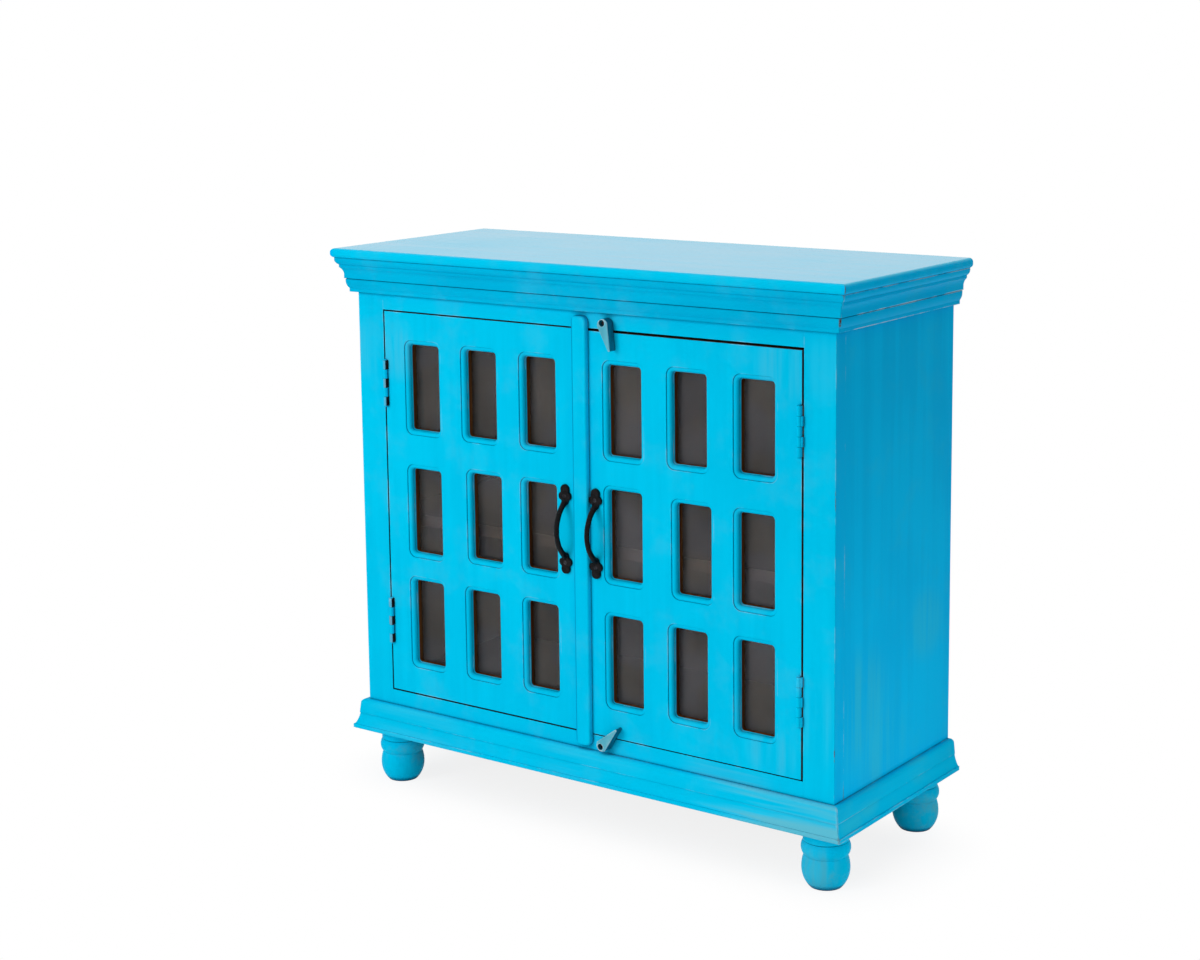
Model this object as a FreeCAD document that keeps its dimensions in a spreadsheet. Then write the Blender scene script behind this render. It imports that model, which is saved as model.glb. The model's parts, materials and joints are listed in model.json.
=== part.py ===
import FreeCAD, Part
import math
import os
import re

import Sketcher

# A painted two-door cabinet with glazed doors, in millimetres.
# The origin is on the floor under the middle of the top panel: +X right, +Y back, +Z up.

doc = FreeCAD.newDocument("glazed_cabinet")
sheet = doc.addObject("Spreadsheet::Sheet", "Sizes")

SIZES = {
    # Carcass
    "body_width": 850,
    "body_depth": 340,
    "side_thickness": 20,
    "back_thickness": 8,
    "back_rabbet": 10,
    "bottom_thickness": 18,
    "bottom_dado": 6,
    "stop_lip": 7,
    "shelf_thickness": 18,
    "shelf_height": 275,
    "shelf_setback": 6,
    "shelf_clearance": 0.4,
    "cleat_size": 20,
    # Face frame
    "frame_thickness": 25,
    "stile_width": 49.6,
    "opening_height": 606,
    "top_rail_show": 25,
    "bottom_rail_show": 24,
    "tenon_length": 25,
    "tenon_thickness": 9,
    "tenon_shoulder": 10,
    "tenon_clearance": 0.2,
    # Top and mouldings
    "top_thickness": 14.5,
    "top_overhang": 30,
    "top_edge_radius": 6,
    "cornice_height": 53.5,
    "cornice_out": 25.5,
    "cornice_bead": 11,
    "cornice_band_out": 20.6,
    "cornice_band": 4,
    "cornice_cove": 13,
    "cornice_cove_out": 15.3,
    "cornice_ovolo_top": 33.5,
    "cornice_ovolo_out": 13.6,
    "cornice_quirk": 1,
    "cornice_lip": 5.5,
    "cornice_lip_out": 9.7,
    "cornice_bead_swell": 2,
    "cornice_cove_swell": 1.75,
    "cornice_ovolo_swell": 1.55,
    "base_height": 46,
    "base_out": 19.3,
    "base_shoulder": 6,
    "base_shoulder_out": 10.3,
    "base_face": 22,
    "base_face_out": 12,
    "base_quirk": 0.8,
    "base_lip": 6,
    "base_lip_step": 1.8,
    "base_cove_swell": 0.8,
    # Feet
    "foot_height": 88,
    "foot_inset": 34,
    "foot_setback": 37,
    "foot_ball_radius": 34.4,
    "foot_ball_height": 27.5,
    "foot_flat_radius": 23.5,
    "foot_neck_radius": 31,
    "foot_ring_radius": 35.2,
    "foot_ring_height": 22,
    "foot_collar_radius": 32.5,
    "foot_collar_height": 20,
    "spigot_radius": 8,
    "spigot_length": 36,
    "spigot_clearance": 0.2,
    "block_size": 60,
    # Doors
    "door_thickness": 25,
    "door_gap": 3,
    "left_top_gap": 2.2,
    "left_bottom_gap": 2.6,
    "right_top_gap": 3.8,
    "right_bottom_gap": 1.8,
    "door_proud": 0.5,
    "meeting_offset": 9.3,
    "strip_width": 25.8,
    "strip_overhang": 1.3,
    "strip_thickness": 8,
    "strip_reach": 17,
    "strip_corner_radius": 8,
    "strip_edge_radius": 3,
    # Windows
    "window_side_margin": 41.5,
    "window_middle_margin": 40.5,
    "window_end_margin": 44,
    "window_mullion": 39.2,
    "window_rail": 38,
    "window_corner": 5,
    "window_quirk": 1.5,
    "window_ovolo": 6.5,
    "window_ovolo_radius": 5,
    "window_step": 8,
    "window_fillet": 1,
    "middle_row_drop": 2.5,
    "middle_window_shift": 7,
    "left_window_drop": 5.7,
    "right_window_rise": 5.2,
    # Glazing
    "glass_thickness": 3,
    "glass_lap": 10,
    "glass_clearance": 0.3,
    "rebate_depth": 7,
    "bead_width": 9,
    # Hinges
    "hinge_length": 71,
    "hinge_inset": 114,
    "barrel_radius": 3.2,
    "barrel_out": 4,
    "pin_inset": 2,
    "pocket_width": 6,
    "pocket_depth": 5,
    "pin_radius": 1.5,
    "pin_clearance": 0.05,
    "pin_head_radius": 2.4,
    "pin_head_height": 1.5,
    "knuckle_clearance": 0.3,
    "leaf_thickness": 1.2,
    "leaf_depth": 20,
    "leaf_setback": 0.3,
    "hinge_screw_head": 3,
    "hinge_screw_radius": 1.6,
    "hinge_screw_length": 16,
    "hinge_screw_pitch": 24,
    "screw_clearance": 0.1,
    # Pulls
    "pull_gap": 0.3,
    "pull_rise": 2,
    "pull_half_bow": 42,
    "pull_out": 23.5,
    "pull_bar_radius": 4.2,
    "pull_collar_radius": 5.6,
    "pull_plate_thickness": 3,
    "pull_lobe_radius": 6,
    "pull_lobe_spread": 4.5,
    "pull_lobe_height": 50,
    "pull_tip_radius": 6.6,
    "pull_tip_height": 60.5,
    "pull_screw_head": 3.4,
    "pull_screw_head_height": 1.6,
    "pull_screw_radius": 1.7,
    "pull_screw_length": 18,
    # Turn buttons
    "button_length": 40,
    "button_head_radius": 9.3,
    "button_tip_radius": 1.8,
    "button_thickness": 14,
    "button_clearance": 0.4,
    "button_boss_radius": 6,
    "button_boss_clearance": 0.1,
    "button_edge_radius": 1,
    "button_bore_radius": 4.9,
    "button_bore_depth": 8,
    "button_hole_radius": 2.6,
    "button_inset": 11,
    "top_button_offset": 51,
    "bottom_button_offset": 40,
    "top_button_angle": 17,
    "bottom_button_angle": 43,
    "button_screw_head": 4.4,
    "button_screw_head_height": 3,
    "button_screw_radius": 2.3,
    "button_screw_length": 24,
}

# Windows of a door, counted from its middle
COLUMNS = (-1, 0, 1)
ROWS = (1, 0, -1)

# Windows that are cut off the grid: how far along X and Z
STRAYS = {
    ("left", -1, 0): ("0", "-left_window_drop"),
    ("left", 0, 0): ("middle_window_shift", "0"),
    ("right", -1, 0): ("0", "right_window_rise"),
    ("right", 0, 0): ("middle_window_shift", "0"),
}

# Places that follow from the sizes
DERIVED = {
    "half_body": "body_width / 2",
    "half_opening": "half_body - stile_width",
    "front": "-(body_depth + top_overhang) / 2 + top_overhang",
    "back": "front + body_depth",
    "frame_back": "front + frame_thickness",
    "base_bottom": "foot_height",
    "base_top": "base_bottom + base_height",
    "opening_bottom": "base_top + bottom_rail_show",
    "opening_top": "opening_bottom + opening_height",
    "opening_middle": "opening_bottom + opening_height / 2",
    "cornice_bottom": "opening_top + top_rail_show",
    "top_bottom": "cornice_bottom + cornice_height",
    "floor_top": "opening_bottom + stop_lip",
    "shelf_top": "floor_top + shelf_height",
    "door_front": "front - door_proud",
    "door_back": "door_front + door_thickness",
    "door_edge": "half_opening - door_gap",
    "gap_line": "half_opening - door_gap / 2",
    "hinge_line": "door_edge - pin_inset",
    "window_moulding": "window_ovolo + window_fillet",
    "window_field": "half_opening - window_side_margin - window_middle_margin",
    "window_rise": "opening_height - 2 * window_end_margin",
    "window_width": f"(window_field - {len(COLUMNS) - 1} * window_mullion) / {len(COLUMNS)}",
    "window_height": f"(window_rise - {len(ROWS) - 1} * window_rail) / {len(ROWS)}",
    "window_centre": "window_middle_margin + window_field / 2",
    "column_pitch": "window_width + window_mullion",
    "row_pitch": "window_height + window_rail",
    "glass_half_width": "column_pitch + window_width / 2 - window_moulding + glass_lap",
    "glass_half_height": "row_pitch + window_height / 2 - window_moulding + glass_lap",
    "glass_front": "door_back - rebate_depth",
    "pin_line": "front - barrel_out",
    "right_door_edge": "-meeting_offset + door_gap / 2",
    "strip_right": "right_door_edge - strip_overhang + strip_width",
    "pull_offset": "strip_right + pull_gap + pull_lobe_spread + pull_lobe_radius",
    "pull_middle": "opening_middle + pull_rise",
    "button_back": "door_front - button_clearance",
    "button_taper": "asin((button_head_radius - button_tip_radius) / button_length)",
    "neck_height": "foot_height - foot_collar_height - foot_ring_height",
}

KNUCKLES = 5
SIDES = {"left": -1, "right": 1}
UP = FreeCAD.Vector(0, 0, 1)
ALONG_Y = FreeCAD.Vector(0, 1, 0)
CUT_MARGIN = 2

for row, (name, number) in enumerate(SIZES.items(), 1):
    sheet.set(f"A{row}", name)
    sheet.set(f"B{row}", str(number))
    sheet.setAlias(f"B{row}", name)
doc.recompute()

nodes = {}


def expression(text):
    """Turns plain size names into references to the sheet."""
    def refer(match):
        word = match.group(0)
        if word in DERIVED:
            return f"({expression(DERIVED[word])})"
        return f"Sizes.{word}" if word in SIZES else word
    return re.sub(r"[a-z][a-z_]*", refer, str(text))


def size(text):
    """The number that an expression has now."""
    found = sheet.evalExpression(expression(text))
    return float(getattr(found, "Value", found))


def bind(thing, **texts):
    for name, text in texts.items():
        thing.setExpression(name, expression(text))


def place(thing, x=0, y=0, z=0):
    for axis, text in zip("xyz", (x, y, z)):
        thing.setExpression(f"Placement.Base.{axis}", expression(text))
    return thing


def keep(thing, label):
    """Makes an object one of the cabinet's pieces."""
    thing.Label = label
    nodes[label] = thing
    return thing


def add(kind, name):
    return doc.addObject(kind, name)


# Solids and booleans

def board(name, x, y, z):
    """A box between pairs of places along X, Y and Z."""
    box = add("Part::Box", name)
    for side, (low, high) in zip(("Length", "Width", "Height"), (x, y, z)):
        box.setExpression(side, expression(f"({high}) - ({low})"))
    return place(box, x[0], y[0], z[0])


def rod(name, radius, length, at, direction=UP):
    """A cylinder that starts at a place and runs along a direction."""
    cylinder = add("Part::Cylinder", name)
    bind(cylinder, Radius=radius, Height=length)
    cylinder.Placement = FreeCAD.Placement(FreeCAD.Vector(), FreeCAD.Rotation(UP, direction))
    return place(cylinder, *at)


def group(name, things):
    compound = add("Part::Compound", name)
    compound.Links = things
    return compound


def joined(name, things):
    fuse = add("Part::MultiFuse", name)
    fuse.Shapes = things
    return fuse


def cut(name, base, tools):
    result = add("Part::Cut", name)
    result.Base = base
    result.Tool = tools[0] if len(tools) == 1 else group(f"{name}_cuts", tools)
    return result


def copy_of(master, name, at, turn=0):
    """A placed copy of a master solid, turned about the vertical by whole degrees."""
    link = add("App::Link", name)
    link.LinkedObject = master
    link.Placement = FreeCAD.Placement(FreeCAD.Vector(), FreeCAD.Rotation(UP, turn))
    return place(link, *at)


# Sketched bodies

def sketch_on(body, role, offset=0):
    plane = next(item for item in body.Origin.OriginFeatures if item.Role == role)
    sketch = body.newObject("Sketcher::SketchObject", f"{body.Name}_sketch")
    sketch.AttachmentSupport = (plane, [""])
    sketch.MapMode = "FlatFace"
    sketch.setExpression("AttachmentOffset.Base.z", expression(offset))
    return sketch


def dimension(sketch, constraint, text):
    index = sketch.addConstraint(constraint)
    name = f"size_{index}"
    sketch.renameConstraint(index, name)
    sketch.setExpression(f"Constraints.{name}", expression(text))


def arc_between(first, last, radius, bulge):
    """An arc from one point to another, with its centre on the side that bulge gives."""
    chord = last - first
    half = chord.Length / 2
    away = FreeCAD.Vector(chord.y, -chord.x, 0).normalize()
    centre = (first + last) / 2 - away * bulge * math.sqrt(max(radius ** 2 - half ** 2, 0))
    angles = [math.atan2(p.y - centre.y, p.x - centre.x) for p in (first, last)]
    if bulge < 0:
        angles.reverse()
    return Part.ArcOfCircle(Part.Circle(centre, UP, radius), *angles)


def arc_radius(depth, half_chord):
    """The radius of an arc from its depth and half its chord."""
    return f"(({half_chord}) ^ 2 + ({depth}) ^ 2) / (2 * ({depth}))"


def outline(sketch, points):
    """A closed outline. A point is (x, y), or (x, y, radius, bulge) where an arc leaves it.

    A bulge of 1 bends to the right of the way from point to point, and -1 to the left.
    """
    spots = [FreeCAD.Vector(size(p[0]), size(p[1]), 0) for p in points]
    ends = []
    for index, point in enumerate(points):
        first, last = spots[index], spots[(index + 1) % len(points)]
        if len(point) == 2:
            edge = sketch.addGeometry(Part.LineSegment(first, last))
            ends.append((edge, 1, 2))
            continue
        radius, bulge = point[2:]
        edge = sketch.addGeometry(arc_between(first, last, size(radius), bulge))
        ends.append((edge, 1, 2) if bulge > 0 else (edge, 2, 1))
        dimension(sketch, Sketcher.Constraint("Radius", edge, size(radius)), radius)
    for index, (edge, start, stop) in enumerate(ends):
        following, begin, _ = ends[(index + 1) % len(ends)]
        sketch.addConstraint(Sketcher.Constraint("Coincident", edge, stop, following, begin))
        for kind, text in zip(("DistanceX", "DistanceY"), points[index][:2]):
            dimension(sketch, Sketcher.Constraint(kind, -1, 1, edge, start, size(text)), text)


def rounded_rectangle(sketch, half_width, half_height, radius):
    """A rectangle about the sketch's origin with equal rounded corners."""
    x, y = f"({half_width})", f"({half_height})"
    corner = f"({radius})"
    outline(sketch, [
        (f"-{x} + {corner}", f"-{y}"),
        (f"{x} - {corner}", f"-{y}", corner, 1),
        (x, f"-{y} + {corner}"),
        (x, f"{y} - {corner}", corner, 1),
        (f"{x} - {corner}", y),
        (f"-{x} + {corner}", y, corner, 1),
        (f"-{x}", f"{y} - {corner}"),
        (f"-{x}", f"-{y} + {corner}", corner, 1),
    ])


def circle(sketch, radius, x=0, y=0):
    edge = sketch.addGeometry(Part.Circle(FreeCAD.Vector(size(x), size(y), 0), UP, size(radius)))
    dimension(sketch, Sketcher.Constraint("Radius", edge, size(radius)), radius)
    for kind, text in (("DistanceX", x), ("DistanceY", y)):
        dimension(sketch, Sketcher.Constraint(kind, -1, 1, edge, 3, size(text)), text)


def feature(body, kind, sketch, **settings):
    made = body.newObject(f"PartDesign::{kind}", f"{body.Name}_{kind.lower()}")
    made.Profile = sketch
    for name, setting in settings.items():
        setattr(made, name, setting)
    return made


def pad(body, sketch, length, **settings):
    made = feature(body, "Pad", sketch, **settings)
    bind(made, Length=length)
    return made


def pocket(body, sketch, length, **settings):
    made = feature(body, "Pocket", sketch, **settings)
    bind(made, Length=length)
    return made


def fillet(body, base, radius, wanted):
    """Rounds the edges of the base feature that the test picks."""
    doc.recompute()
    names = [f"Edge{i}" for i, edge in enumerate(base.Shape.Edges, 1) if wanted(edge.BoundBox)]
    made = body.newObject("PartDesign::Fillet", f"{body.Name}_fillet")
    made.Base = (base, names)
    bind(made, Radius=radius)
    return made


def level(low, high, place_text):
    """Whether an edge's extent lies at one place."""
    at = size(place_text)
    return abs(low - at) < 1e-4 and abs(high - at) < 1e-4


# Top panel

def make_top():
    body = add("PartDesign::Body", "top_panel")
    sketch = sketch_on(body, "XY_Plane")
    x, y = "half_body + top_overhang", "front - top_overhang"
    outline(sketch, [(f"-({x})", y), (x, y), (x, "back"), (f"-({x})", "back")])
    slab = pad(body, sketch, "top_thickness")
    fillet(body, slab, "top_edge_radius",
           lambda b: b.ZLength < 1e-4 and not level(b.YMin, b.YMax, "back"))
    keep(place(body, z="top_bottom"), "top_panel")


# Mouldings: a profile is a list of (out from the body, down from the top) points

def curve(first, last, swell, bulge):
    """The first point of an arc that swells from its chord to the last point."""
    across, along = (f"(({b}) - ({a}))" for a, b in zip(first, last))
    return (*first, arc_radius(swell, f"sqrt({across} ^ 2 + {along} ^ 2) / 2"), bulge)


def cornice_profile():
    bead_top = ("cornice_out", "0")
    bead_bottom = ("cornice_band_out", "cornice_bead")
    cove_top = ("cornice_band_out", "cornice_bead + cornice_band")
    cove_bottom = ("cornice_cove_out", "cornice_bead + cornice_band + cornice_cove")
    ovolo_top = ("cornice_ovolo_out", "cornice_ovolo_top")
    lip_top = ("cornice_lip_out", "cornice_height - cornice_lip")
    return [
        ("0", "0"),
        curve(bead_top, bead_bottom, "cornice_bead_swell", -1),
        bead_bottom,
        curve(cove_top, cove_bottom, "cornice_cove_swell", 1),
        cove_bottom,
        ("cornice_cove_out", "cornice_ovolo_top - cornice_quirk"),
        ("cornice_ovolo_out - cornice_quirk", "cornice_ovolo_top - cornice_quirk"),
        ("cornice_ovolo_out - cornice_quirk", "cornice_ovolo_top"),
        curve(ovolo_top, lip_top, "cornice_ovolo_swell", -1),
        lip_top,
        ("cornice_lip_out", "cornice_height"),
        ("0", "cornice_height"),
    ]


def base_profile():
    lip_top = "base_height - base_lip"
    cove_top = ("base_face_out - base_quirk", "base_face + base_quirk")
    cove_bottom = ("base_out - base_lip_step", lip_top)
    return [
        ("0", "0"),
        ("base_shoulder_out - base_shoulder", "0", "base_shoulder", -1),
        ("base_shoulder_out", "base_shoulder"),
        ("base_face_out", "base_face"),
        ("base_face_out - base_quirk", "base_face"),
        curve(cove_top, cove_bottom, "base_cove_swell", 1),
        cove_bottom,
        ("base_out", lip_top),
        ("base_out", "base_height"),
        ("0", "base_height"),
    ]


def moulding_front(label, profile, out, height, z):
    """The front length: its profile lies across the cabinet's depth and its ends are mitred."""
    body = add("PartDesign::Body", label)
    sketch = sketch_on(body, "YZ_Plane")
    outline(sketch, [(f"-({p[0]})", f"{height} - ({p[1]})", *p[2:3], *(-b for b in p[3:])) for p in profile])
    pad(body, sketch, f"body_width + 2 * {out}", Midplane=True)
    far = f"{out} + {CUT_MARGIN}"
    for sign in SIDES.values():
        mitre = sketch_on(body, "XY_Plane")
        corner, end = f"{sign} * half_body", f"{sign} * (half_body + {far})"
        outline(mitre, [(corner, "0"), (end, "0"), (end, f"-({far})")])
        pocket(body, mitre, height, Reversed=True)
    keep(place(body, y="front", z=z), label)


def moulding_side(label, sign, profile, out, height, z):
    """A side length: mitred at the front corner and square at the back."""
    body = add("PartDesign::Body", label)
    sketch = sketch_on(body, "XZ_Plane")
    outline(sketch, [(f"{sign} * ({p[0]})", f"{height} - ({p[1]})", *p[2:3], *(b * sign for b in p[3:]))
                     for p in profile])
    pad(body, sketch, f"body_depth + {out}")
    mitre = sketch_on(body, "XY_Plane")
    far = f"{out} + {CUT_MARGIN}"
    outline(mitre, [("0", "-body_depth"), ("0", f"-body_depth - ({far})"),
                    (f"{sign} * ({far})", f"-body_depth - ({far})")])
    pocket(body, mitre, height, Reversed=True)
    keep(place(body, f"{sign} * half_body", "back", z), label)


def make_mouldings():
    sets = (
        ("cornice", cornice_profile(), "cornice_out", "cornice_height", "cornice_bottom"),
        ("base_moulding", base_profile(), "base_out", "base_height", "base_bottom"),
    )
    for name, *shape in sets:
        moulding_front(f"{name}_front", *shape)
        for side, sign in SIDES.items():
            moulding_side(f"{name}_{side}", sign, *shape)


# Carcass boards

def ordered(sign, near, far):
    """A pair of places at one side, lowest first."""
    return (near, far) if sign > 0 else (f"-({far})", f"-({near})")


def make_carcass():
    inner = "half_body - side_thickness"
    panel_back = "back - back_thickness"
    for side, sign in SIDES.items():
        blank = board(f"side_{side}_blank", ordered(sign, inner, "half_body"), ("frame_back", "back"),
                      ("base_bottom", "top_bottom"))
        dado = board(f"side_{side}_dado", ordered(sign, inner, f"{inner} + bottom_dado"),
                     ("frame_back", panel_back), ("floor_top - bottom_thickness", "floor_top"))
        rabbet = board(f"side_{side}_rabbet", ordered(sign, inner, f"{inner} + back_rabbet"),
                       (panel_back, "back"), ("base_bottom", "top_bottom"))
        keep(cut(f"side_panel_{side}", blank, [dado, rabbet]), f"side_panel_{side}")
        cleat = board(f"shelf_cleat_{side}", ordered(sign, f"{inner} - cleat_size", inner),
                      ("frame_back + shelf_setback", panel_back),
                      ("shelf_top - shelf_thickness - cleat_size", "shelf_top - shelf_thickness"))
        keep(cleat, f"shelf_cleat_{side}")
    wide = f"{inner} + back_rabbet"
    keep(board("back_panel", (f"-({wide})", wide), (panel_back, "back"), ("base_bottom", "top_bottom")),
         "back_panel")
    wide = f"{inner} + bottom_dado"
    keep(board("bottom_panel", (f"-({wide})", wide), ("frame_back", panel_back),
               ("floor_top - bottom_thickness", "floor_top")), "bottom_panel")
    wide = f"{inner} - shelf_clearance"
    keep(board("shelf", (f"-({wide})", wide), ("frame_back + shelf_setback", panel_back),
               ("shelf_top - shelf_thickness", "shelf_top")), "shelf")


# Feet and the blocks that hold them

def make_foot(label, x, y):
    ring_top = "neck_height + foot_ring_height"
    ring_bend = arc_radius("foot_ring_radius - foot_neck_radius", "foot_ring_height / 2")
    lower_bend = arc_radius("foot_ball_radius - foot_flat_radius", "foot_ball_height")
    upper_bend = arc_radius("foot_ball_radius - foot_neck_radius", "neck_height - foot_ball_height")
    body = add("PartDesign::Body", label)
    sketch = sketch_on(body, "XZ_Plane")
    outline(sketch, [
        ("0", "0"),
        ("foot_flat_radius", "0", lower_bend, 1),
        ("foot_ball_radius", "foot_ball_height", upper_bend, 1),
        ("foot_neck_radius", "neck_height", ring_bend, 1),
        ("foot_neck_radius", ring_top),
        ("foot_collar_radius", ring_top),
        ("foot_collar_radius", "foot_height"),
        ("spigot_radius", "foot_height"),
        ("spigot_radius", "foot_height + spigot_length"),
        ("0", "foot_height + spigot_length"),
    ])
    feature(body, "Revolution", sketch, ReferenceAxis=(sketch, ["V_Axis"]), Angle=360)
    keep(place(body, x, y), label)


def make_feet():
    inner = "half_body - side_thickness"
    rows = {
        "front": ("front + foot_setback", ("frame_back", "frame_back + block_size")),
        "back": ("back - foot_setback", ("back - back_thickness - block_size", "back - back_thickness")),
    }
    for row, (y, span) in rows.items():
        for side, sign in SIDES.items():
            x = f"{sign} * (half_body - foot_inset)"
            make_foot(f"foot_{row}_{side}", x, y)
            blank = board(f"block_{row}_{side}_blank", ordered(sign, f"{inner} - block_size", inner), span,
                          ("base_bottom", "floor_top - bottom_thickness"))
            hole = rod(f"block_{row}_{side}_hole", "spigot_radius + spigot_clearance",
                       "spigot_length + spigot_clearance", (x, y, "base_bottom"))
            keep(cut(f"foot_block_{row}_{side}", blank, [hole]), f"foot_block_{row}_{side}")


# Screws: each master points along +X, with its head at the origin

def countersunk(name, clearance=0):
    cone = add("Part::Cone", f"{name}_head")
    bind(cone, Radius1=f"hinge_screw_head + {clearance}", Radius2=f"hinge_screw_radius + {clearance}",
         Height="leaf_thickness")
    cone.Placement = FreeCAD.Placement(FreeCAD.Vector(), FreeCAD.Rotation(ALONG_Y, 90))
    shank = rod(f"{name}_shank", f"hinge_screw_radius + {clearance}", f"hinge_screw_length + {clearance}",
                (0, 0, 0), FreeCAD.Vector(1, 0, 0))
    return joined(name, [cone, shank])


def flat_headed(name, head, head_height, radius, length):
    along = FreeCAD.Vector(1, 0, 0)
    cap = rod(f"{name}_head", head, head_height, (f"-({head_height})", 0, 0), along)
    shank = rod(f"{name}_shank", radius, length, (0, 0, 0), along)
    return joined(name, [cap, shank])


# Hinges

HINGES = {
    # name: (side, sign of its end of the door, whether the frame leaf has the outer knuckles)
    "left_upper": ("left", 1, True),
    "left_lower": ("left", -1, True),
    "right_upper": ("right", 1, False),
    "right_lower": ("right", -1, True),
}


def hinge_bottom(end):
    middle = "opening_top - hinge_inset" if end > 0 else "opening_bottom + hinge_inset"
    return f"{middle} - hinge_length / 2"


def leaf_screws(side, end, leaf_sign):
    """Places of a leaf's three screws: in the gap, at the face of the leaf."""
    x = f"{SIDES[side]} * gap_line + {leaf_sign} * (door_gap / 2 - leaf_thickness)"
    y = "front + leaf_setback + leaf_depth / 2"
    middle = f"{hinge_bottom(end)} + hinge_length / 2"
    return [(x, y, f"{middle} + {step} * hinge_screw_pitch") for step in (-1, 0, 1)]


def knuckle_span(end, knuckle):
    """The lowest and the highest place of one knuckle."""
    return [f"{hinge_bottom(end)} + hinge_length * {step} / {KNUCKLES}" for step in (knuckle, knuckle + 1)]


def make_leaf(label, name, leaf_sign, own, hole):
    """A leaf in the gap. Its knuckles stand before the door's edge, each on a strap from the leaf."""
    side, end, _ = HINGES[name]
    axis, gap = f"{SIDES[side]} * hinge_line", f"{SIDES[side]} * gap_line"
    bottom = hinge_bottom(end)
    inner, outer = "door_gap / 2 - leaf_thickness", "door_gap / 2"
    low, high = (inner, outer) if leaf_sign > 0 else (f"-({outer})", f"-({inner})")
    span = (f"{gap} + {low}", f"{gap} + {high}")
    across = (axis, span[1]) if SIDES[side] > 0 else (span[0], axis)
    strap_front = "pin_line - leaf_thickness / 2"
    plate_front = "front + leaf_setback"
    pieces = [board(f"{label}_plate", span, (plate_front, f"{plate_front} + leaf_depth"),
                    (bottom, f"{bottom} + hinge_length"))]
    for knuckle in own:
        first, last = knuckle_span(end, knuckle)
        start, stop = f"{first} + knuckle_clearance / 2", f"{last} - knuckle_clearance / 2"
        pieces.append(rod(f"{label}_knuckle_{knuckle}", "barrel_radius", f"{stop} - ({start})",
                          (axis, "pin_line", start)))
        pieces.append(board(f"{label}_tab_{knuckle}", span, (strap_front, plate_front), (start, stop)))
        pieces.append(board(f"{label}_strap_{knuckle}", across, (strap_front, f"{strap_front} + leaf_thickness"),
                            (start, stop)))
    solid = joined(f"{label}_solid", pieces)
    bore = rod(f"{label}_bore", "pin_radius + pin_clearance", "hinge_length", (axis, "pin_line", bottom))
    turn = 0 if leaf_sign > 0 else 180
    holes = [copy_of(hole, f"{label}_hole_{i}", at, turn)
             for i, at in enumerate(leaf_screws(side, end, leaf_sign))]
    keep(cut(label, solid, [bore, *holes]), label)


def make_pin(name):
    side, end, _ = HINGES[name]
    axis, bottom = f"{SIDES[side]} * hinge_line", hinge_bottom(end)
    shaft = rod(f"pin_{name}_shaft", "pin_radius", "hinge_length", (axis, "pin_line", bottom))
    caps = [rod(f"pin_{name}_cap_{i}", "pin_head_radius", "pin_head_height", (axis, "pin_line", z))
            for i, z in enumerate((f"{bottom} - pin_head_height", f"{bottom} + hinge_length"))]
    return joined(f"pin_{name}", [shaft, *caps])


def knuckle_pockets(name, knuckles):
    """Hollows in the edge of the door behind the frame leaf's knuckles."""
    side, end, _ = HINGES[name]
    across = ordered(SIDES[side], "door_edge - pocket_width", f"door_edge + {CUT_MARGIN}")
    deep = (f"door_front - {CUT_MARGIN}", "door_front + pocket_depth")
    return [board(f"pocket_{name}_{k}", across, deep, knuckle_span(end, k)) for k in knuckles]


def make_hinges(screw, hole):
    """Leaves, pins and screws. Returns the cutters for holes and pockets by the piece that they enter."""
    screws = {"frame": [], "left_door": [], "right_door": []}
    cutters = {"frame_left": [], "frame_right": [], "door_left": [], "door_right": []}
    outer = [k for k in range(KNUCKLES) if k % 2 == 0]
    inner = [k for k in range(KNUCKLES) if k % 2 == 1]
    for name, (side, end, frame_outer) in HINGES.items():
        leaves = (
            ("frame", SIDES[side], outer if frame_outer else inner, "frame"),
            ("door", -SIDES[side], inner if frame_outer else outer, f"{side}_door"),
        )
        for kind, leaf_sign, own, holder in leaves:
            make_leaf(f"hinge_{kind}_leaf_{name}", name, leaf_sign, own, hole)
            turn = 0 if leaf_sign > 0 else 180
            for i, at in enumerate(leaf_screws(side, end, leaf_sign)):
                screws[holder].append(copy_of(screw, f"screw_{kind}_{name}_{i}", at, turn))
                cutters[f"{kind}_{side}"].append(copy_of(hole, f"cut_{kind}_{name}_{i}", at, turn))
        cutters[f"door_{side}"] += knuckle_pockets(name, outer if frame_outer else inner)
    keep(group("hinge_pins", [make_pin(name) for name in HINGES]), "hinge_pins")
    for holder, copies in screws.items():
        keep(group(f"hinge_screws_{holder}", copies), f"hinge_screws_{holder}")
    return cutters


# Face frame

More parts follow.
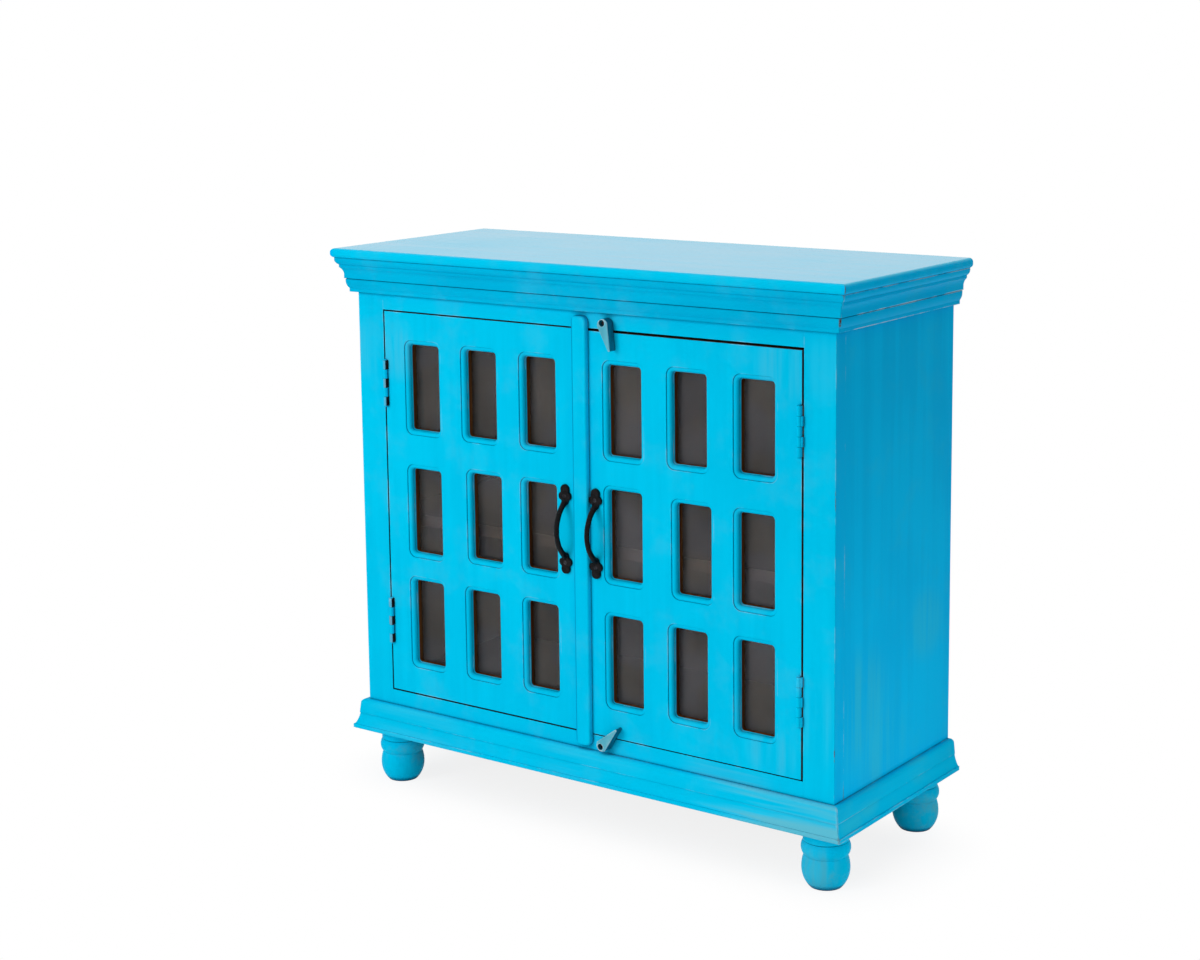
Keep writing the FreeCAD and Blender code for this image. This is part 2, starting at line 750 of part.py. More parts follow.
def make_frame(cutters, button_holes):
    rails = {
        "top": ("opening_top", "top_bottom"),
        "bottom": ("base_bottom", "opening_bottom"),
    }
    middle = "front + frame_thickness / 2"
    mortises = {side: [] for side in SIDES}
    for name, (low, high) in rails.items():
        pieces = [board(f"rail_{name}_blank", ("-(half_opening)", "half_opening"), ("front", "frame_back"),
                        (low, high))]
        for side, sign in SIDES.items():
            for kind, room in (("tenon", "0"), ("mortise", "tenon_clearance")):
                block = board(
                    f"{kind}_{name}_{side}",
                    ordered(sign, "half_opening", f"half_opening + tenon_length + {room}"),
                    (f"{middle} - tenon_thickness / 2 - {room}", f"{middle} + tenon_thickness / 2 + {room}"),
                    (f"{low} + tenon_shoulder - {room}", f"{high} - tenon_shoulder + {room}"))
                (pieces if kind == "tenon" else mortises[side]).append(block)
        rail = joined(f"rail_{name}_solid", pieces)
        keep(cut(f"face_rail_{name}", rail, [button_holes[name]]), f"face_rail_{name}")
    for side, sign in SIDES.items():
        blank = board(f"stile_{side}_blank", ordered(sign, "half_opening", "half_body"),
                      ("front", "frame_back"), ("base_bottom", "top_bottom"))
        tools = mortises[side] + cutters[f"frame_{side}"]
        keep(cut(f"face_stile_{side}", blank, tools), f"face_stile_{side}")


# Doors

def window_cutter():
    """The hollow of one window: a quirk, an ovolo, a small step and the opening."""
    body = add("PartDesign::Body", "window_cutter")
    steps = (
        ("0", "window_quirk"),
        ("window_ovolo", "window_step"),
        ("window_moulding", "door_thickness"),
    )
    for inset, depth in steps:
        sketch = sketch_on(body, "XZ_Plane", CUT_MARGIN)
        rounded_rectangle(sketch, f"window_width / 2 - {inset}", f"window_height / 2 - {inset}",
                          f"window_corner + window_moulding - {inset}")
        last = pad(body, sketch, f"{depth} + {CUT_MARGIN}", Reversed=True)
    half_width, half_height = size("window_width / 2"), size("window_height / 2")
    inside = size("window_quirk")
    fillet(body, last, "window_ovolo_radius",
           lambda b: abs(b.YMin - inside) < 1e-4 and abs(b.YMax - inside) < 1e-4
           and max(abs(b.XMin), abs(b.XMax)) < half_width - 1
           and max(abs(b.ZMin), abs(b.ZMax)) < half_height - 1)
    return body


def door_span(side):
    """The door's edges along X, lowest first."""
    if side == "left":
        return "-(door_edge)", "right_door_edge - door_gap"
    return "right_door_edge", "door_edge"


def make_door(side, sign, cutter, cutters):
    blank = board(f"door_{side}_blank", door_span(side), ("door_front", "door_back"),
                  (f"opening_bottom + {side}_bottom_gap", f"opening_top - {side}_top_gap"))
    x, z = f"{sign} * window_centre", "opening_middle"
    field_x = (f"{x} - glass_half_width", f"{x} + glass_half_width")
    field_z = (f"{z} - glass_half_height", f"{z} + glass_half_height")
    rebate = board(f"door_{side}_rebate", field_x, ("glass_front", f"door_back + {CUT_MARGIN}"), field_z)
    windows = []
    for column in COLUMNS:
        for row in ROWS:
            shift, lift = STRAYS.get((side, column, row), ("0", "0"))
            drop = "middle_row_drop" if row == 0 else "0"
            windows.append(copy_of(cutter, f"window_{side}_{column}_{row}",
                                   (f"{x} + {column} * column_pitch + {shift}", "door_front",
                                    f"{z} + {row} * row_pitch - {drop} + ({lift})")))
    rebated = cut(f"door_{side}_rebated", blank, [rebate])
    keep(cut(f"door_panel_{side}", rebated, windows + cutters), f"door_panel_{side}")
    make_glazing(side, field_x, field_z)


def make_glazing(side, field_x, field_z):
    (left, right), (low, high) = field_x, field_z
    room = "glass_clearance"
    glass_back = "glass_front + glass_thickness"
    keep(board(f"glass_{side}", (f"{left} + {room}", f"{right} - {room}"), ("glass_front", glass_back),
               (f"{low} + {room}", f"{high} - {room}")), f"glass_{side}")
    beads = {
        "top": ((left, right), (f"{high} - bead_width", high)),
        "bottom": ((left, right), (low, f"{low} + bead_width")),
        "left": ((left, f"{left} + bead_width"), (f"{low} + bead_width", f"{high} - bead_width")),
        "right": ((f"{right} - bead_width", right), (f"{low} + bead_width", f"{high} - bead_width")),
    }
    for edge, (span_x, span_z) in beads.items():
        label = f"glazing_bead_{side}_{edge}"
        keep(board(label, span_x, (glass_back, "door_back"), span_z), label)


def make_strip():
    """The strip on the right door's free edge that covers the gap between the doors."""
    body = add("PartDesign::Body", "meeting_strip")
    sketch = sketch_on(body, "XZ_Plane")
    rounded_rectangle(sketch, "strip_width / 2", "opening_height / 2 + strip_reach", "strip_corner_radius")
    bar = pad(body, sketch, "strip_thickness")
    face = size("-strip_thickness")
    fillet(body, bar, "strip_edge_radius",
           lambda b: abs(b.YMin - face) < 1e-4 and abs(b.YMax - face) < 1e-4)
    keep(place(body, "strip_right - strip_width / 2", "door_front", "opening_middle"), "meeting_strip")


# Pulls

def pull_screw_places(sign):
    return [(f"{sign} * pull_offset", "door_front - pull_plate_thickness",
             f"pull_middle + {end} * pull_lobe_height") for end in (1, -1)]


def make_pull(side, sign, screw_hole):
    x = f"{sign} * pull_offset"
    lobes = [(0, "pull_tip_height", "pull_tip_radius")]
    lobes += [(f"{s} * pull_lobe_spread", "pull_lobe_height", "pull_lobe_radius") for s in (-1, 1)]
    lobes += [(0, "pull_half_bow", "pull_collar_radius")]
    pieces = [pull_bar(side, x)]
    for end in (1, -1):
        for i, (dx, height, radius) in enumerate(lobes):
            pieces.append(rod(f"pull_{side}_lobe_{end}_{i}", radius, "pull_plate_thickness",
                              (f"{x} + {dx}", "door_front", f"pull_middle + {end} * {height}"), -ALONG_Y))
    solid = joined(f"pull_{side}_solid", pieces)
    holes = [copy_of(screw_hole, f"pull_{side}_hole_{i}", at, 90)
             for i, at in enumerate(pull_screw_places(sign))]
    keep(cut(f"pull_{side}", solid, holes), f"pull_{side}")


def pull_bar(side, x):
    """A round bar bent to an arc, cut off flush with the face of the door."""
    bend = arc_radius("pull_out", "pull_half_bow")
    ring = add("Part::Torus", f"pull_{side}_ring")
    bind(ring, Radius1=bend, Radius2="pull_bar_radius")
    ring.Placement = FreeCAD.Placement(FreeCAD.Vector(), FreeCAD.Rotation(UP, FreeCAD.Vector(1, 0, 0)))
    place(ring, x, f"door_front - pull_out + {bend}", "pull_middle")
    reach = "pull_half_bow + 2 * pull_bar_radius"
    limit = board(f"pull_{side}_limit", (f"{x} - 2 * pull_bar_radius", f"{x} + 2 * pull_bar_radius"),
                  ("door_front - pull_out - 2 * pull_bar_radius", "door_front"),
                  (f"pull_middle - ({reach})", f"pull_middle + {reach}"))
    bar = add("Part::Common", f"pull_{side}_bar")
    bar.Base, bar.Tool = ring, limit
    return bar


# Turn buttons

def button_place(name):
    if name == "top":
        return "top_button_offset", "button_back", "opening_top + button_inset"
    return "bottom_button_offset", "button_back", "opening_bottom - button_inset"


def make_button(name, angle):
    """A wooden teardrop that hangs down before it is turned to its angle."""
    body = add("PartDesign::Body", f"turn_button_{name}")
    sketch = sketch_on(body, "XZ_Plane")
    across, down = "cos(button_taper)", "sin(button_taper)"
    head = (f"button_head_radius * {across}", f"-button_head_radius * {down}")
    tip = (f"button_tip_radius * {across}", f"-button_length - button_tip_radius * {down}")
    outline(sketch, [
        (*head, "button_head_radius", 1),
        (f"-{head[0]}", head[1]),
        (f"-{tip[0]}", tip[1], "button_tip_radius", 1),
        tip,
    ])
    block = pad(body, sketch, "button_thickness")
    face = size("-button_thickness")
    fillet(body, block, "button_edge_radius",
           lambda b: abs(b.YMin - face) < 1e-4 and abs(b.YMax - face) < 1e-4)
    boss = sketch_on(body, "XZ_Plane")
    circle(boss, "button_boss_radius")
    pad(body, boss, "door_proud + button_clearance - button_boss_clearance", Reversed=True)
    bore = sketch_on(body, "XZ_Plane", "button_thickness")
    circle(bore, "button_bore_radius")
    pocket(body, bore, "button_bore_depth")
    hole = sketch_on(body, "XZ_Plane", "button_thickness")
    circle(hole, "button_hole_radius")
    pocket(body, hole, f"button_thickness + {CUT_MARGIN}")
    body.Placement = FreeCAD.Placement(FreeCAD.Vector(), FreeCAD.Rotation(-ALONG_Y, 1))
    body.setExpression("Placement.Rotation.Angle", expression(angle))
    keep(place(body, *button_place(name)), f"turn_button_{name}")


def make_buttons():
    """The buttons and their screws. Returns the pilot hole of each rail."""
    make_button("top", "top_button_angle")
    make_button("bottom", "180 - bottom_button_angle")
    sizes = ("button_screw_head", "button_screw_head_height")
    screw = flat_headed("button_screw", *sizes, "button_screw_radius", "button_screw_length")
    hole = flat_headed("button_screw_hole", *sizes, "button_screw_radius + screw_clearance",
                       "button_screw_length + screw_clearance")
    seat = "button_thickness - button_bore_depth + screw_clearance"
    screws, holes = [], {}
    for name in ("top", "bottom"):
        x, y, z = button_place(name)
        at = (x, f"{y} - ({seat})", z)
        screws.append(copy_of(screw, f"button_screw_{name}", at, 90))
        holes[name] = copy_of(hole, f"button_hole_{name}", at, 90)
    keep(group("turn_button_screws", screws), "turn_button_screws")
    return holes


def make_doors(cutters):
    sizes = ("pull_screw_head", "pull_screw_head_height")
    pull_screw = flat_headed("pull_screw", *sizes, "pull_screw_radius", "pull_screw_length")
    pull_hole = flat_headed("pull_screw_hole", *sizes, "pull_screw_radius + screw_clearance",
                            "pull_screw_length + screw_clearance")
    cutter = window_cutter()
    for side, sign in SIDES.items():
        places = pull_screw_places(sign)
        holes = [copy_of(pull_hole, f"door_{side}_pull_hole_{i}", at, 90) for i, at in enumerate(places)]
        make_door(side, sign, cutter, cutters[f"door_{side}"] + holes)
        make_pull(side, sign, pull_hole)
        screws = [copy_of(pull_screw, f"pull_screw_{side}_{i}", at, 90) for i, at in enumerate(places)]
        keep(group(f"pull_screws_{side}", screws), f"pull_screws_{side}")
    make_strip()


def check_and_write():
    doc.recompute()
    for thing in doc.Objects:
        if {"Invalid", "Error"} & set(thing.State):
            raise RuntimeError(f"{thing.Label} failed: {thing.State}")
    for label, thing in nodes.items():
        if thing.Shape.isNull() or not thing.Shape.isValid() or not thing.Shape.Solids:
            raise RuntimeError(f"{label} has no valid solid")
    os.makedirs("parts", exist_ok=True)
    for label, thing in nodes.items():
        thing.Shape.exportStep(f"parts/{label}.step")


make_top()
make_mouldings()
make_carcass()
make_feet()
hinge_cutters = make_hinges(countersunk("hinge_screw"), countersunk("hinge_screw_hole", "screw_clearance"))
make_frame(hinge_cutters, make_buttons())
make_doors(hinge_cutters)
check_and_write()
print(len(nodes), "pieces")
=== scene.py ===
"""Looks of a painted, glazed wooden cabinet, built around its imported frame."""

import json
import math

import bmesh
import bpy
from mathutils import Euler, Matrix, Vector

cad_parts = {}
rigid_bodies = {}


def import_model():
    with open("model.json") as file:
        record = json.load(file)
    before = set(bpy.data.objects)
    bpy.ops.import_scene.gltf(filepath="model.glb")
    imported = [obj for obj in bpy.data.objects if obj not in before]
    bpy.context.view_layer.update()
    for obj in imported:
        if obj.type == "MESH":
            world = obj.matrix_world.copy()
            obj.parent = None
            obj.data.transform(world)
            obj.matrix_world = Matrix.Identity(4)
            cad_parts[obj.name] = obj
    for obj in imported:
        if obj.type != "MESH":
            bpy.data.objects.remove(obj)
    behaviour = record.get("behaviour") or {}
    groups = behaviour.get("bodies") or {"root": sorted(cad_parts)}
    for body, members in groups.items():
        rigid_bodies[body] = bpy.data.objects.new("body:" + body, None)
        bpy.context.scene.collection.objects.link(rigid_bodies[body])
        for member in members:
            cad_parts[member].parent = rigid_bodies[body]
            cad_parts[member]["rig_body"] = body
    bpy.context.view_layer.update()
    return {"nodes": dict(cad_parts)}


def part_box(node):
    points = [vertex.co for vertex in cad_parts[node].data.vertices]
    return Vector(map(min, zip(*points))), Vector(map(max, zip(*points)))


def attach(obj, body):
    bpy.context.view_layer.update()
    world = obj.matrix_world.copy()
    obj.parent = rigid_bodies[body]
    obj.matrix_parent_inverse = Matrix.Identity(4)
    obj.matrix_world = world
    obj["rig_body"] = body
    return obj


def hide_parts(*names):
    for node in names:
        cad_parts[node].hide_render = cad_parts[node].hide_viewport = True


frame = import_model()
nodes = frame["nodes"]

MM = 0.001
X, Y, Z = 0, 1, 2
SIDES = ("left", "right")
ENDS = ("upper", "lower")

# Places that the finishes need, read from the frame
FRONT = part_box("face_stile_left")[0].y
FRAME_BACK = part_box("face_stile_left")[1].y
DOOR_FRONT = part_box("door_panel_left")[0].y
OPENING_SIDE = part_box("face_stile_right")[0].x
OPENING_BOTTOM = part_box("face_rail_bottom")[1].z
OPENING_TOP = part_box("face_rail_top")[0].z
INNER_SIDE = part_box("side_panel_right")[0].x
INNER_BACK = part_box("back_panel")[0].y
INNER_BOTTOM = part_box("bottom_panel")[0].z
TOP_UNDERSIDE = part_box("top_panel")[0].z
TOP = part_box("top_panel")[1].z
TOP_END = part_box("top_panel")[1].x
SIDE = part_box("side_panel_right")[1].x
HINGE_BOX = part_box("hinge_door_leaf_right_upper")
HINGE_LINE = (HINGE_BOX[0].x + HINGE_BOX[1].x) / 2

# Sizes of the marks in the finishes
BRUSH_WIDTH = 22 * MM
BRUSH_LENGTH = 500 * MM
CLOUD = 210 * MM
CHALK_CLOUD = 70 * MM
CHIP = 7 * MM
PAINT_FILM = 0.12 * MM
PINE_GRAIN_WIDTH = 6 * MM
PINE_GRAIN_LENGTH = 320 * MM
SPECKLE = 6 * MM
HAMMER_MARK = 3.5 * MM
HAMMER_DEPTH = 0.4 * MM
FORGE_LUMP = 11 * MM
GLASS_RIPPLE = 60 * MM
GLASS_WAVE = 0.5 * MM
DUST_CLOUD = 90 * MM
PAPER_FIBRE = 25 * MM

# How far edges, paint, wax, bare spots and some painted shade reach
EDGE_REACH = 2.2 * MM
EDGE_ROUND = 1.1 * MM
PAINT_LAP = 0.6 * MM
REVEAL_PAINT = 10.5 * MM
SKIN = 0.4 * MM
NOSE = 6 * MM
WAX_EDGE = 4 * MM
BARREL_BARE = 2.3 * MM
KNUCKLE_RUB = 14 * MM
# Width of the painted shade line along the meeting strip's closing edge
STRIP_SHADE_WIDTH = 3 * MM
# Depth of a turn button's front face; behind it the sides take a painted shade
BUTTON_FACE = 1.3 * MM
PAST_DOOR = 10 * MM
PAST_HINGE = 100 * MM
FAR = 1.0

# Where the value of a pattern starts to show, and where it shows in full
TONE_SHOWS = (0.8, 1.2)
BLOOM_SHOWS = (0.48, 0.72)
RUB_SHOWS = (0.35, 0.62)
SPOT_CORE = 0.35
EDGE_SHOWS = (0.9, 0.55)
PRIMER_SHOWS = (0.56, 0.76)
PRIMER_GAIN = 0.2
CHIP_SHOWS = (0.72, 0.76)
KNOCK_SHOWS = (0.38, 0.5)
BARE_GRAIN_SHOWS = (0.25, 0.75)
PINE_SHOWS = (0.75, 1.25)
METAL_WEAR_SHOWS = (0.4, 0.7)
RIPPLE_SHOWS = (0.4, 0.6)

# Shine: each range of roughness or clearness lies over a range of its pattern
FULL = (0.0, 1.0)
PAINT_IOR = 1.04
WAX_IOR = 1.25
PAINT_TONES = (0.7, 1.3)
PAINT_ROUGHNESS = (0.15, 0.22)
BARE_ROUGHNESS = 0.55
PINE_IOR = 1.5
PINE_ROUGHNESS = (0.45, 0.65)
METAL_IOR = 1.45
METAL_SHINE = 0.12
METAL_MARKS = (0.3, 0.7)
METAL_UNEVEN = 0.08
IRON_ROUGHNESS = 0.24
STEEL_ROUGHNESS = 0.45
GLASS_IOR = 1.2
GLASS_ROUGHNESS = 0.03
GLASS_DUST = (0.3, 0.7)
GLASS_CLEAR = (0.978, 0.95)
PAPER_ROUGHNESS = 0.9
PAPER_SHINE = 0.1

# Strength of the relief, and how finely edges and seams are felt out
BRUSH_RELIEF = 0.05
PINE_RELIEF = 0.4
IRON_RELIEF = 0.5
STEEL_RELIEF = 0.2
GLASS_RELIEF = 0.2
SEAM_SAMPLES = 8
PAINT_EDGE_SAMPLES = 6
PINE_EDGE_SAMPLES = 4

# Colours
ENAMEL_LIGHT = "#00C5EC"
ENAMEL_DEEP = "#00BFE7"
ENAMEL_CHALK = "#52B5D3"
# Colour of the painted shade in seams and under overhangs
ENAMEL_SEAM_SHADE = "#004A70"
ENAMEL_SHEEN = "#0078B8"
# The sides' and side bases' enamel, darker and bluer than the front's: a painted shade for faces turned from
# the lamps
SHADED_SIDE_LIGHT = "#00BDF3"
SHADED_SIDE_DEEP = "#00B5ED"
SHADED_SIDE_CHALK = "#3CBBC9"
SHADED_SIDE_BASE_LIGHT = "#00BEEA"
SHADED_SIDE_BASE_DEEP = "#00B6E3"
BASE_CHALK = "#78BAC2"
FOOT_CHALK = "#4FB0C6"
# The front cornice's enamel is darker: a painted shade for a moulding that leans down under the top
SHADED_CORNICE_LIGHT = "#00B6E0"
SHADED_CORNICE_DEEP = "#00ADD8"
# Painted shade along the meeting strip's closing edge
STRIP_EDGE_SHADE_DARK = "#008EBC"
STRIP_EDGE_SHADE_LIGHT = "#009CCA"
BUTTON_LIGHT = "#62B4C6"
BUTTON_DEEP = "#4FA6BA"
BUTTON_CHALK = "#9CC6CC"
# Painted shade on the sides of the turn buttons
BUTTON_SIDE_SHADE_DARK = "#06657C"
BUTTON_SIDE_SHADE_LIGHT = "#0E839B"
PRIMER = "#D6E7EC"
CHIPPED_WOOD = "#5A3B2E"
DOOR_EDGE_DARK = "#3A1F10"
DOOR_EDGE_LIGHT = "#6E4424"
PINE_DARK = "#140B07"
PINE_LIGHT = "#302015"
# Tarnished metal, nearly black as a painted shade for the gap beside the doors
TARNISH_AND_SHADE_DARK = "#0C0B0E"
TARNISH_AND_SHADE_LIGHT = "#2B2529"
WORN_BRASS = "#8F8783"
BRASS_DARK = "#4D3B22"
BRASS_LIGHT = "#86703F"
IRON_DARK = "#060608"
IRON_LIGHT = "#141316"
STEEL_DARK = "#1B1B1E"
STEEL_LIGHT = "#3E3E43"
DUST_GREY = "#E8E4E8"
DUST_BROWN = "#E7DFD9"
PAPER = "#F7F7F8"
PAPER_SHADE = "#F2F2F4"
WHITE = "#FFFFFF"

# Enamels: the deep and the light tone of the brush marks, and the chalk on them
FRONT_ENAMEL = (ENAMEL_DEEP, ENAMEL_LIGHT, ENAMEL_CHALK)
SHADED_SIDE_ENAMEL = (SHADED_SIDE_DEEP, SHADED_SIDE_LIGHT, SHADED_SIDE_CHALK)
FOOT_ENAMEL = (ENAMEL_DEEP, ENAMEL_LIGHT, FOOT_CHALK)
BASE_ENAMEL = (ENAMEL_DEEP, ENAMEL_LIGHT, BASE_CHALK)
SHADED_SIDE_BASE_ENAMEL = (SHADED_SIDE_BASE_DEEP, SHADED_SIDE_BASE_LIGHT, SHADED_SIDE_CHALK)
SHADED_CORNICE_ENAMEL = (SHADED_CORNICE_DEEP, SHADED_CORNICE_LIGHT, ENAMEL_CHALK)
BUTTON_ENAMEL = (BUTTON_DEEP, BUTTON_LIGHT, BUTTON_CHALK)
HINGE_ENAMEL = (ENAMEL_DEEP, ENAMEL_LIGHT, WORN_BRASS)

# Painted shade in seams and under overhangs: its reach, how open a spot is where it starts and ends, its
# strength
FINE_SEAM_SHADE = [(1.4 * MM, 0.85, 0.5, 1.0), (6 * MM, 0.74, 0.42, 0.35)]
DEEP_SEAM_SHADE = [(2.5 * MM, 0.84, 0.42, 0.9), (11 * MM, 0.8, 0.4, 0.65)]
SOFT_SEAM_SHADE = [(2.5 * MM, 0.84, 0.42, 0.5), (11 * MM, 0.8, 0.4, 0.4)]
CRISP_SEAM_SHADE = [(2.5 * MM, 0.93, 0.5, 0.9), (11 * MM, 0.8, 0.4, 0.65)]

# Rubbed spots on the paint: centre, radius and strength
RAIL_RUBS = [((0.250, FRONT, 0.147), 0.090, 0.45)]
BASE_RUBS = [
    ((0.370, FRONT - 12 * MM, 0.112), 0.190, 0.6),
    ((0.020, FRONT - 12 * MM, 0.120), 0.120, 0.12),
    ((-0.320, FRONT - 12 * MM, 0.108), 0.120, 0.1),
]
DOOR_RUBS = [
    ((0.325, DOOR_FRONT, 0.190), 0.050, 0.4),
    ((0.345, DOOR_FRONT, 0.735), 0.060, 0.4),
    ((-0.345, DOOR_FRONT, 0.700), 0.055, 0.4),
]
UPRIGHT_RUBS = [
    ((0.405, FRONT, 0.735), 0.055, 0.12),
    ((-0.400, FRONT, 0.700), 0.060, 0.35),
    ((SIDE, -0.085, 0.250), 0.110, 0.36),
    ((SIDE, 0.110, 0.330), 0.070, 0.26),
    ((SIDE, -0.020, 0.180), 0.090, 0.34),
    ((-SIDE, 0.040, 0.260), 0.090, 0.3),
]
SIDE_BASE_RUBS = [
    ((SIDE + 8 * MM, -0.080, 0.136), 0.050, 0.5),
    ((SIDE + 10 * MM, 0.070, 0.134), 0.040, 0.35),
    ((SIDE + 16 * MM, -0.130, 0.110), 0.045, 0.3),
    ((-SIDE - 8 * MM, 0.050, 0.136), 0.050, 0.4),
]
FOOT_RUBS = [((0.391, -0.160, 0.030), 0.050, 0.7)]

# Rubbed hinge knuckles: how far up the leaf, and strength
KNUCKLE_RUBS = [(0.08, 0.6), (0.5, 1.0), (0.92, 0.7)]

# Knocks on the corners: centre, radius and strength
KNOCKS = [
    ((SIDE + 30 * MM, FRONT - 30 * MM, 0.850), 0.016, 1.0),
    ((SIDE + 14 * MM, FRONT - 14 * MM, 0.803), 0.009, 1.0),
    ((SIDE, FRONT, 0.205), 0.012, 1.0),
    ((SIDE, FRONT, 0.560), 0.018, 0.8),
    ((SIDE + 18 * MM, FRONT - 18 * MM, 0.091), 0.008, 0.4),
    ((SIDE + 8 * MM, FRONT + 30 * MM, 0.134), 0.030, 0.7),
]

# Where the carcass is bare wood: the inside and the door opening
CARCASS_BARE = [
    ((-INNER_SIDE - SKIN, FRAME_BACK - SKIN, INNER_BOTTOM - SKIN),
     (INNER_SIDE + SKIN, INNER_BACK + SKIN, TOP_UNDERSIDE + SKIN)),
    ((-OPENING_SIDE - SKIN, FRONT + PAINT_LAP, OPENING_BOTTOM - SKIN),
     (OPENING_SIDE + SKIN, FRAME_BACK, OPENING_TOP + SKIN)),
]

# The outer faces of the stiles, and the ends of the top panel, which take the sides' painted shade
NOSE_TOP = TOP - NOSE / 3
SHADED_FLANKS = [
    ((SIDE - SKIN, FRONT + SKIN, 0), (SIDE + SKIN, FRAME_BACK + SKIN, TOP_UNDERSIDE)),
    ((-SIDE - SKIN, FRONT + SKIN, 0), (-SIDE + SKIN, FRAME_BACK + SKIN, TOP_UNDERSIDE)),
    ((TOP_END - NOSE, -FAR, TOP_UNDERSIDE - SKIN), (TOP_END + SKIN, FAR, NOSE_TOP)),
    ((-TOP_END - SKIN, -FAR, TOP_UNDERSIDE - SKIN), (-TOP_END + NOSE, FAR, NOSE_TOP)),
]

# Turned outlines of the screws: radius and height in millimetres, with the top of the head at height 0
HINGE_SCREW = [(0, -16), (0.6, -15.4), (1.5, -12), (1.6, -1.5), (3, -0.15), (2.9, 0), (0, 0)]
PULL_SCREW = [(0, -19.6), (0.7, -19), (1.6, -15), (1.7, -1.6), (3.4, -1.6), (3.3, -1), (2.6, -0.35),
              (1.4, -0.06), (0, 0)]
BUTTON_SCREW = [(0, -27), (0.9, -26), (2.2, -20), (2.3, -3), (4.4, -3), (4.3, -1.6), (3.4, -0.6),
                (1.9, -0.12), (0, 0)]

# Outline of each group of screws, and the width and depth of the slots in millimetres
SCREWS = [
    ("hinge_screws_frame", HINGE_SCREW, (0.8, 0.7)),
    ("hinge_screws_left_door", HINGE_SCREW, (0.8, 0.7)),
    ("hinge_screws_right_door", HINGE_SCREW, (0.8, 0.7)),
    ("pull_screws_left", PULL_SCREW, (0.9, 0.9)),
    ("pull_screws_right", PULL_SCREW, (0.9, 0.9)),
    ("turn_button_screws", BUTTON_SCREW, (1.1, 1.2)),
]
SLOT_LENGTH = 3
TURNED_STEPS = 24
WELD = 1e-6

# Lobes of a pull's plate: across, height from the pull's middle, radius, in millimetres
PULL_LOBES = [(0, 59.6, 7.4), (-4.8, 49.5, 6.2), (4.8, 49.5, 6.2), (0, 54, 7.2), (0, 43, 5.8)]

# Sizes of a pull in millimetres
PULL_SIZES = {"Half Bow": 42, "Bow Out": 23.5, "Bar Radius": 3.9, "Foot Radius": 5.4, "Lobe Depth": 3.6,
              "Wobble": 0.7}
PULL_SKIN = 0.5 * MM
PULL_SOFTENING = 0.5
PULL_SOFT_ROUNDS = 5
BOW_STEPS = 64
BOW_SWELL = 5.0
BAR_SIDES = 24
LOBE_SIDES = 32

# Floor: half the size of the box where it keeps its shadow, how it fades out and how white it is there
PAPER_SIZE = 40.0
PAPER_GRID = 8
PAPER_SHADOW = (0.38, 0.06, 0.0)
PAPER_FADE = 0.18
PAPER_PLAIN = 0.84

# Light: lamps by name, place, aim, width in metres and power in watts
ROOM_LIGHT = 0.43
LAMPS = [
    ("key_softbox", (-1.6, -3.4, 1.9), (0, 0, 0.45), 1.8, 64),
    ("overhead_softbox", (0.2, -0.4, 3.6), (0, 0, 0.4), 3.0, 28),
    ("front_card", (0.2, -0.85, 0.12), (0.2, FRONT, 0.16), 0.9, 0.75),
    ("side_card", (0.86, -0.06, 0.12), (SIDE, 0, 0.16), 0.5, 0.65),
]

# Camera, as fitted to the photo: sizes in pixels, place in metres, turn in degrees
IMAGE_WIDTH = 1200
IMAGE_HEIGHT = 960
FOCAL_PIXELS = 2158.3
OPTICAL_CENTRE = (606.1, 347.9)
SENSOR_WIDTH = 36.0
CAMERA_PLACE = (1.8361, -2.6235, 1.1993)
CAMERA_TURN = (81.3865, 0.629, 35.821)


def linear(code, alpha=1.0):
    """An sRGB hex colour as linear red, green, blue and alpha."""
    parts = [int(code[i:i + 2], 16) / 255 for i in (1, 3, 5)]
    return [p / 12.92 if p <= 0.04045 else ((p + 0.055) / 1.055) ** 2.4 for p in parts] + [alpha]


def add(tree, kind, inputs=None, out=0, **settings):
    """Adds a node with its settings, fills or links its inputs, and gives one of its outputs."""
    node = tree.nodes.new(kind)
    for name, value in settings.items():
        setattr(node, name, value)
    for socket, value in (inputs or {}).items():
        if isinstance(value, bpy.types.NodeSocket):
            tree.links.new(value, node.inputs[socket])
        else:
            node.inputs[socket].default_value = value
    return node if out is None else node.outputs[out]


def finish(name, **even):
    """A new material with one shader, whose even values sit on its own sockets."""
    material = bpy.data.materials.new(name)
    material.use_nodes = True
    tree = material.node_tree
    surface = tree.nodes["Principled BSDF"]
    for socket, value in even.items():
        surface.inputs[socket.replace("_", " ")].default_value = value
    return material, tree, surface


def wire(tree, surface, **values):
    """Links values to the sockets of a shader."""
    for socket, value in values.items():
        tree.links.new(value, surface.inputs[socket.replace("_", " ")])


def calc(tree, operation, *values):
    """One step of arithmetic."""
    return add(tree, "ShaderNodeMath", dict(enumerate(values)), operation=operation)


def vector(tree, operation, *values, out=0):
    """One step of arithmetic on places or sizes in space."""
    return add(tree, "ShaderNodeVectorMath", dict(enumerate(values)), out=out, operation=operation)


def noise(tree, place, size, detail, roughness=0.5):
    """Cloudy noise with marks of a given size."""
    return add(tree, "ShaderNodeTexNoise", {"Vector": place, "Scale": 1 / size, "Detail": detail,
                                            "Roughness": roughness})


def ramp(tree, value, start, end):
    """Rises softly from 0 to 1 as a value goes from start to end."""
    return add(tree, "ShaderNodeMapRange", {"Value": value, "From Min": start, "From Max": end},
               interpolation_type="SMOOTHSTEP")


def carry(tree, value, source, target):
    """Carries a value evenly from one range over to another."""
    return add(tree, "ShaderNodeMapRange", {"Value": value, "From Min": source[0], "From Max": source[1],
                                            "To Min": target[0], "To Max": target[1]})


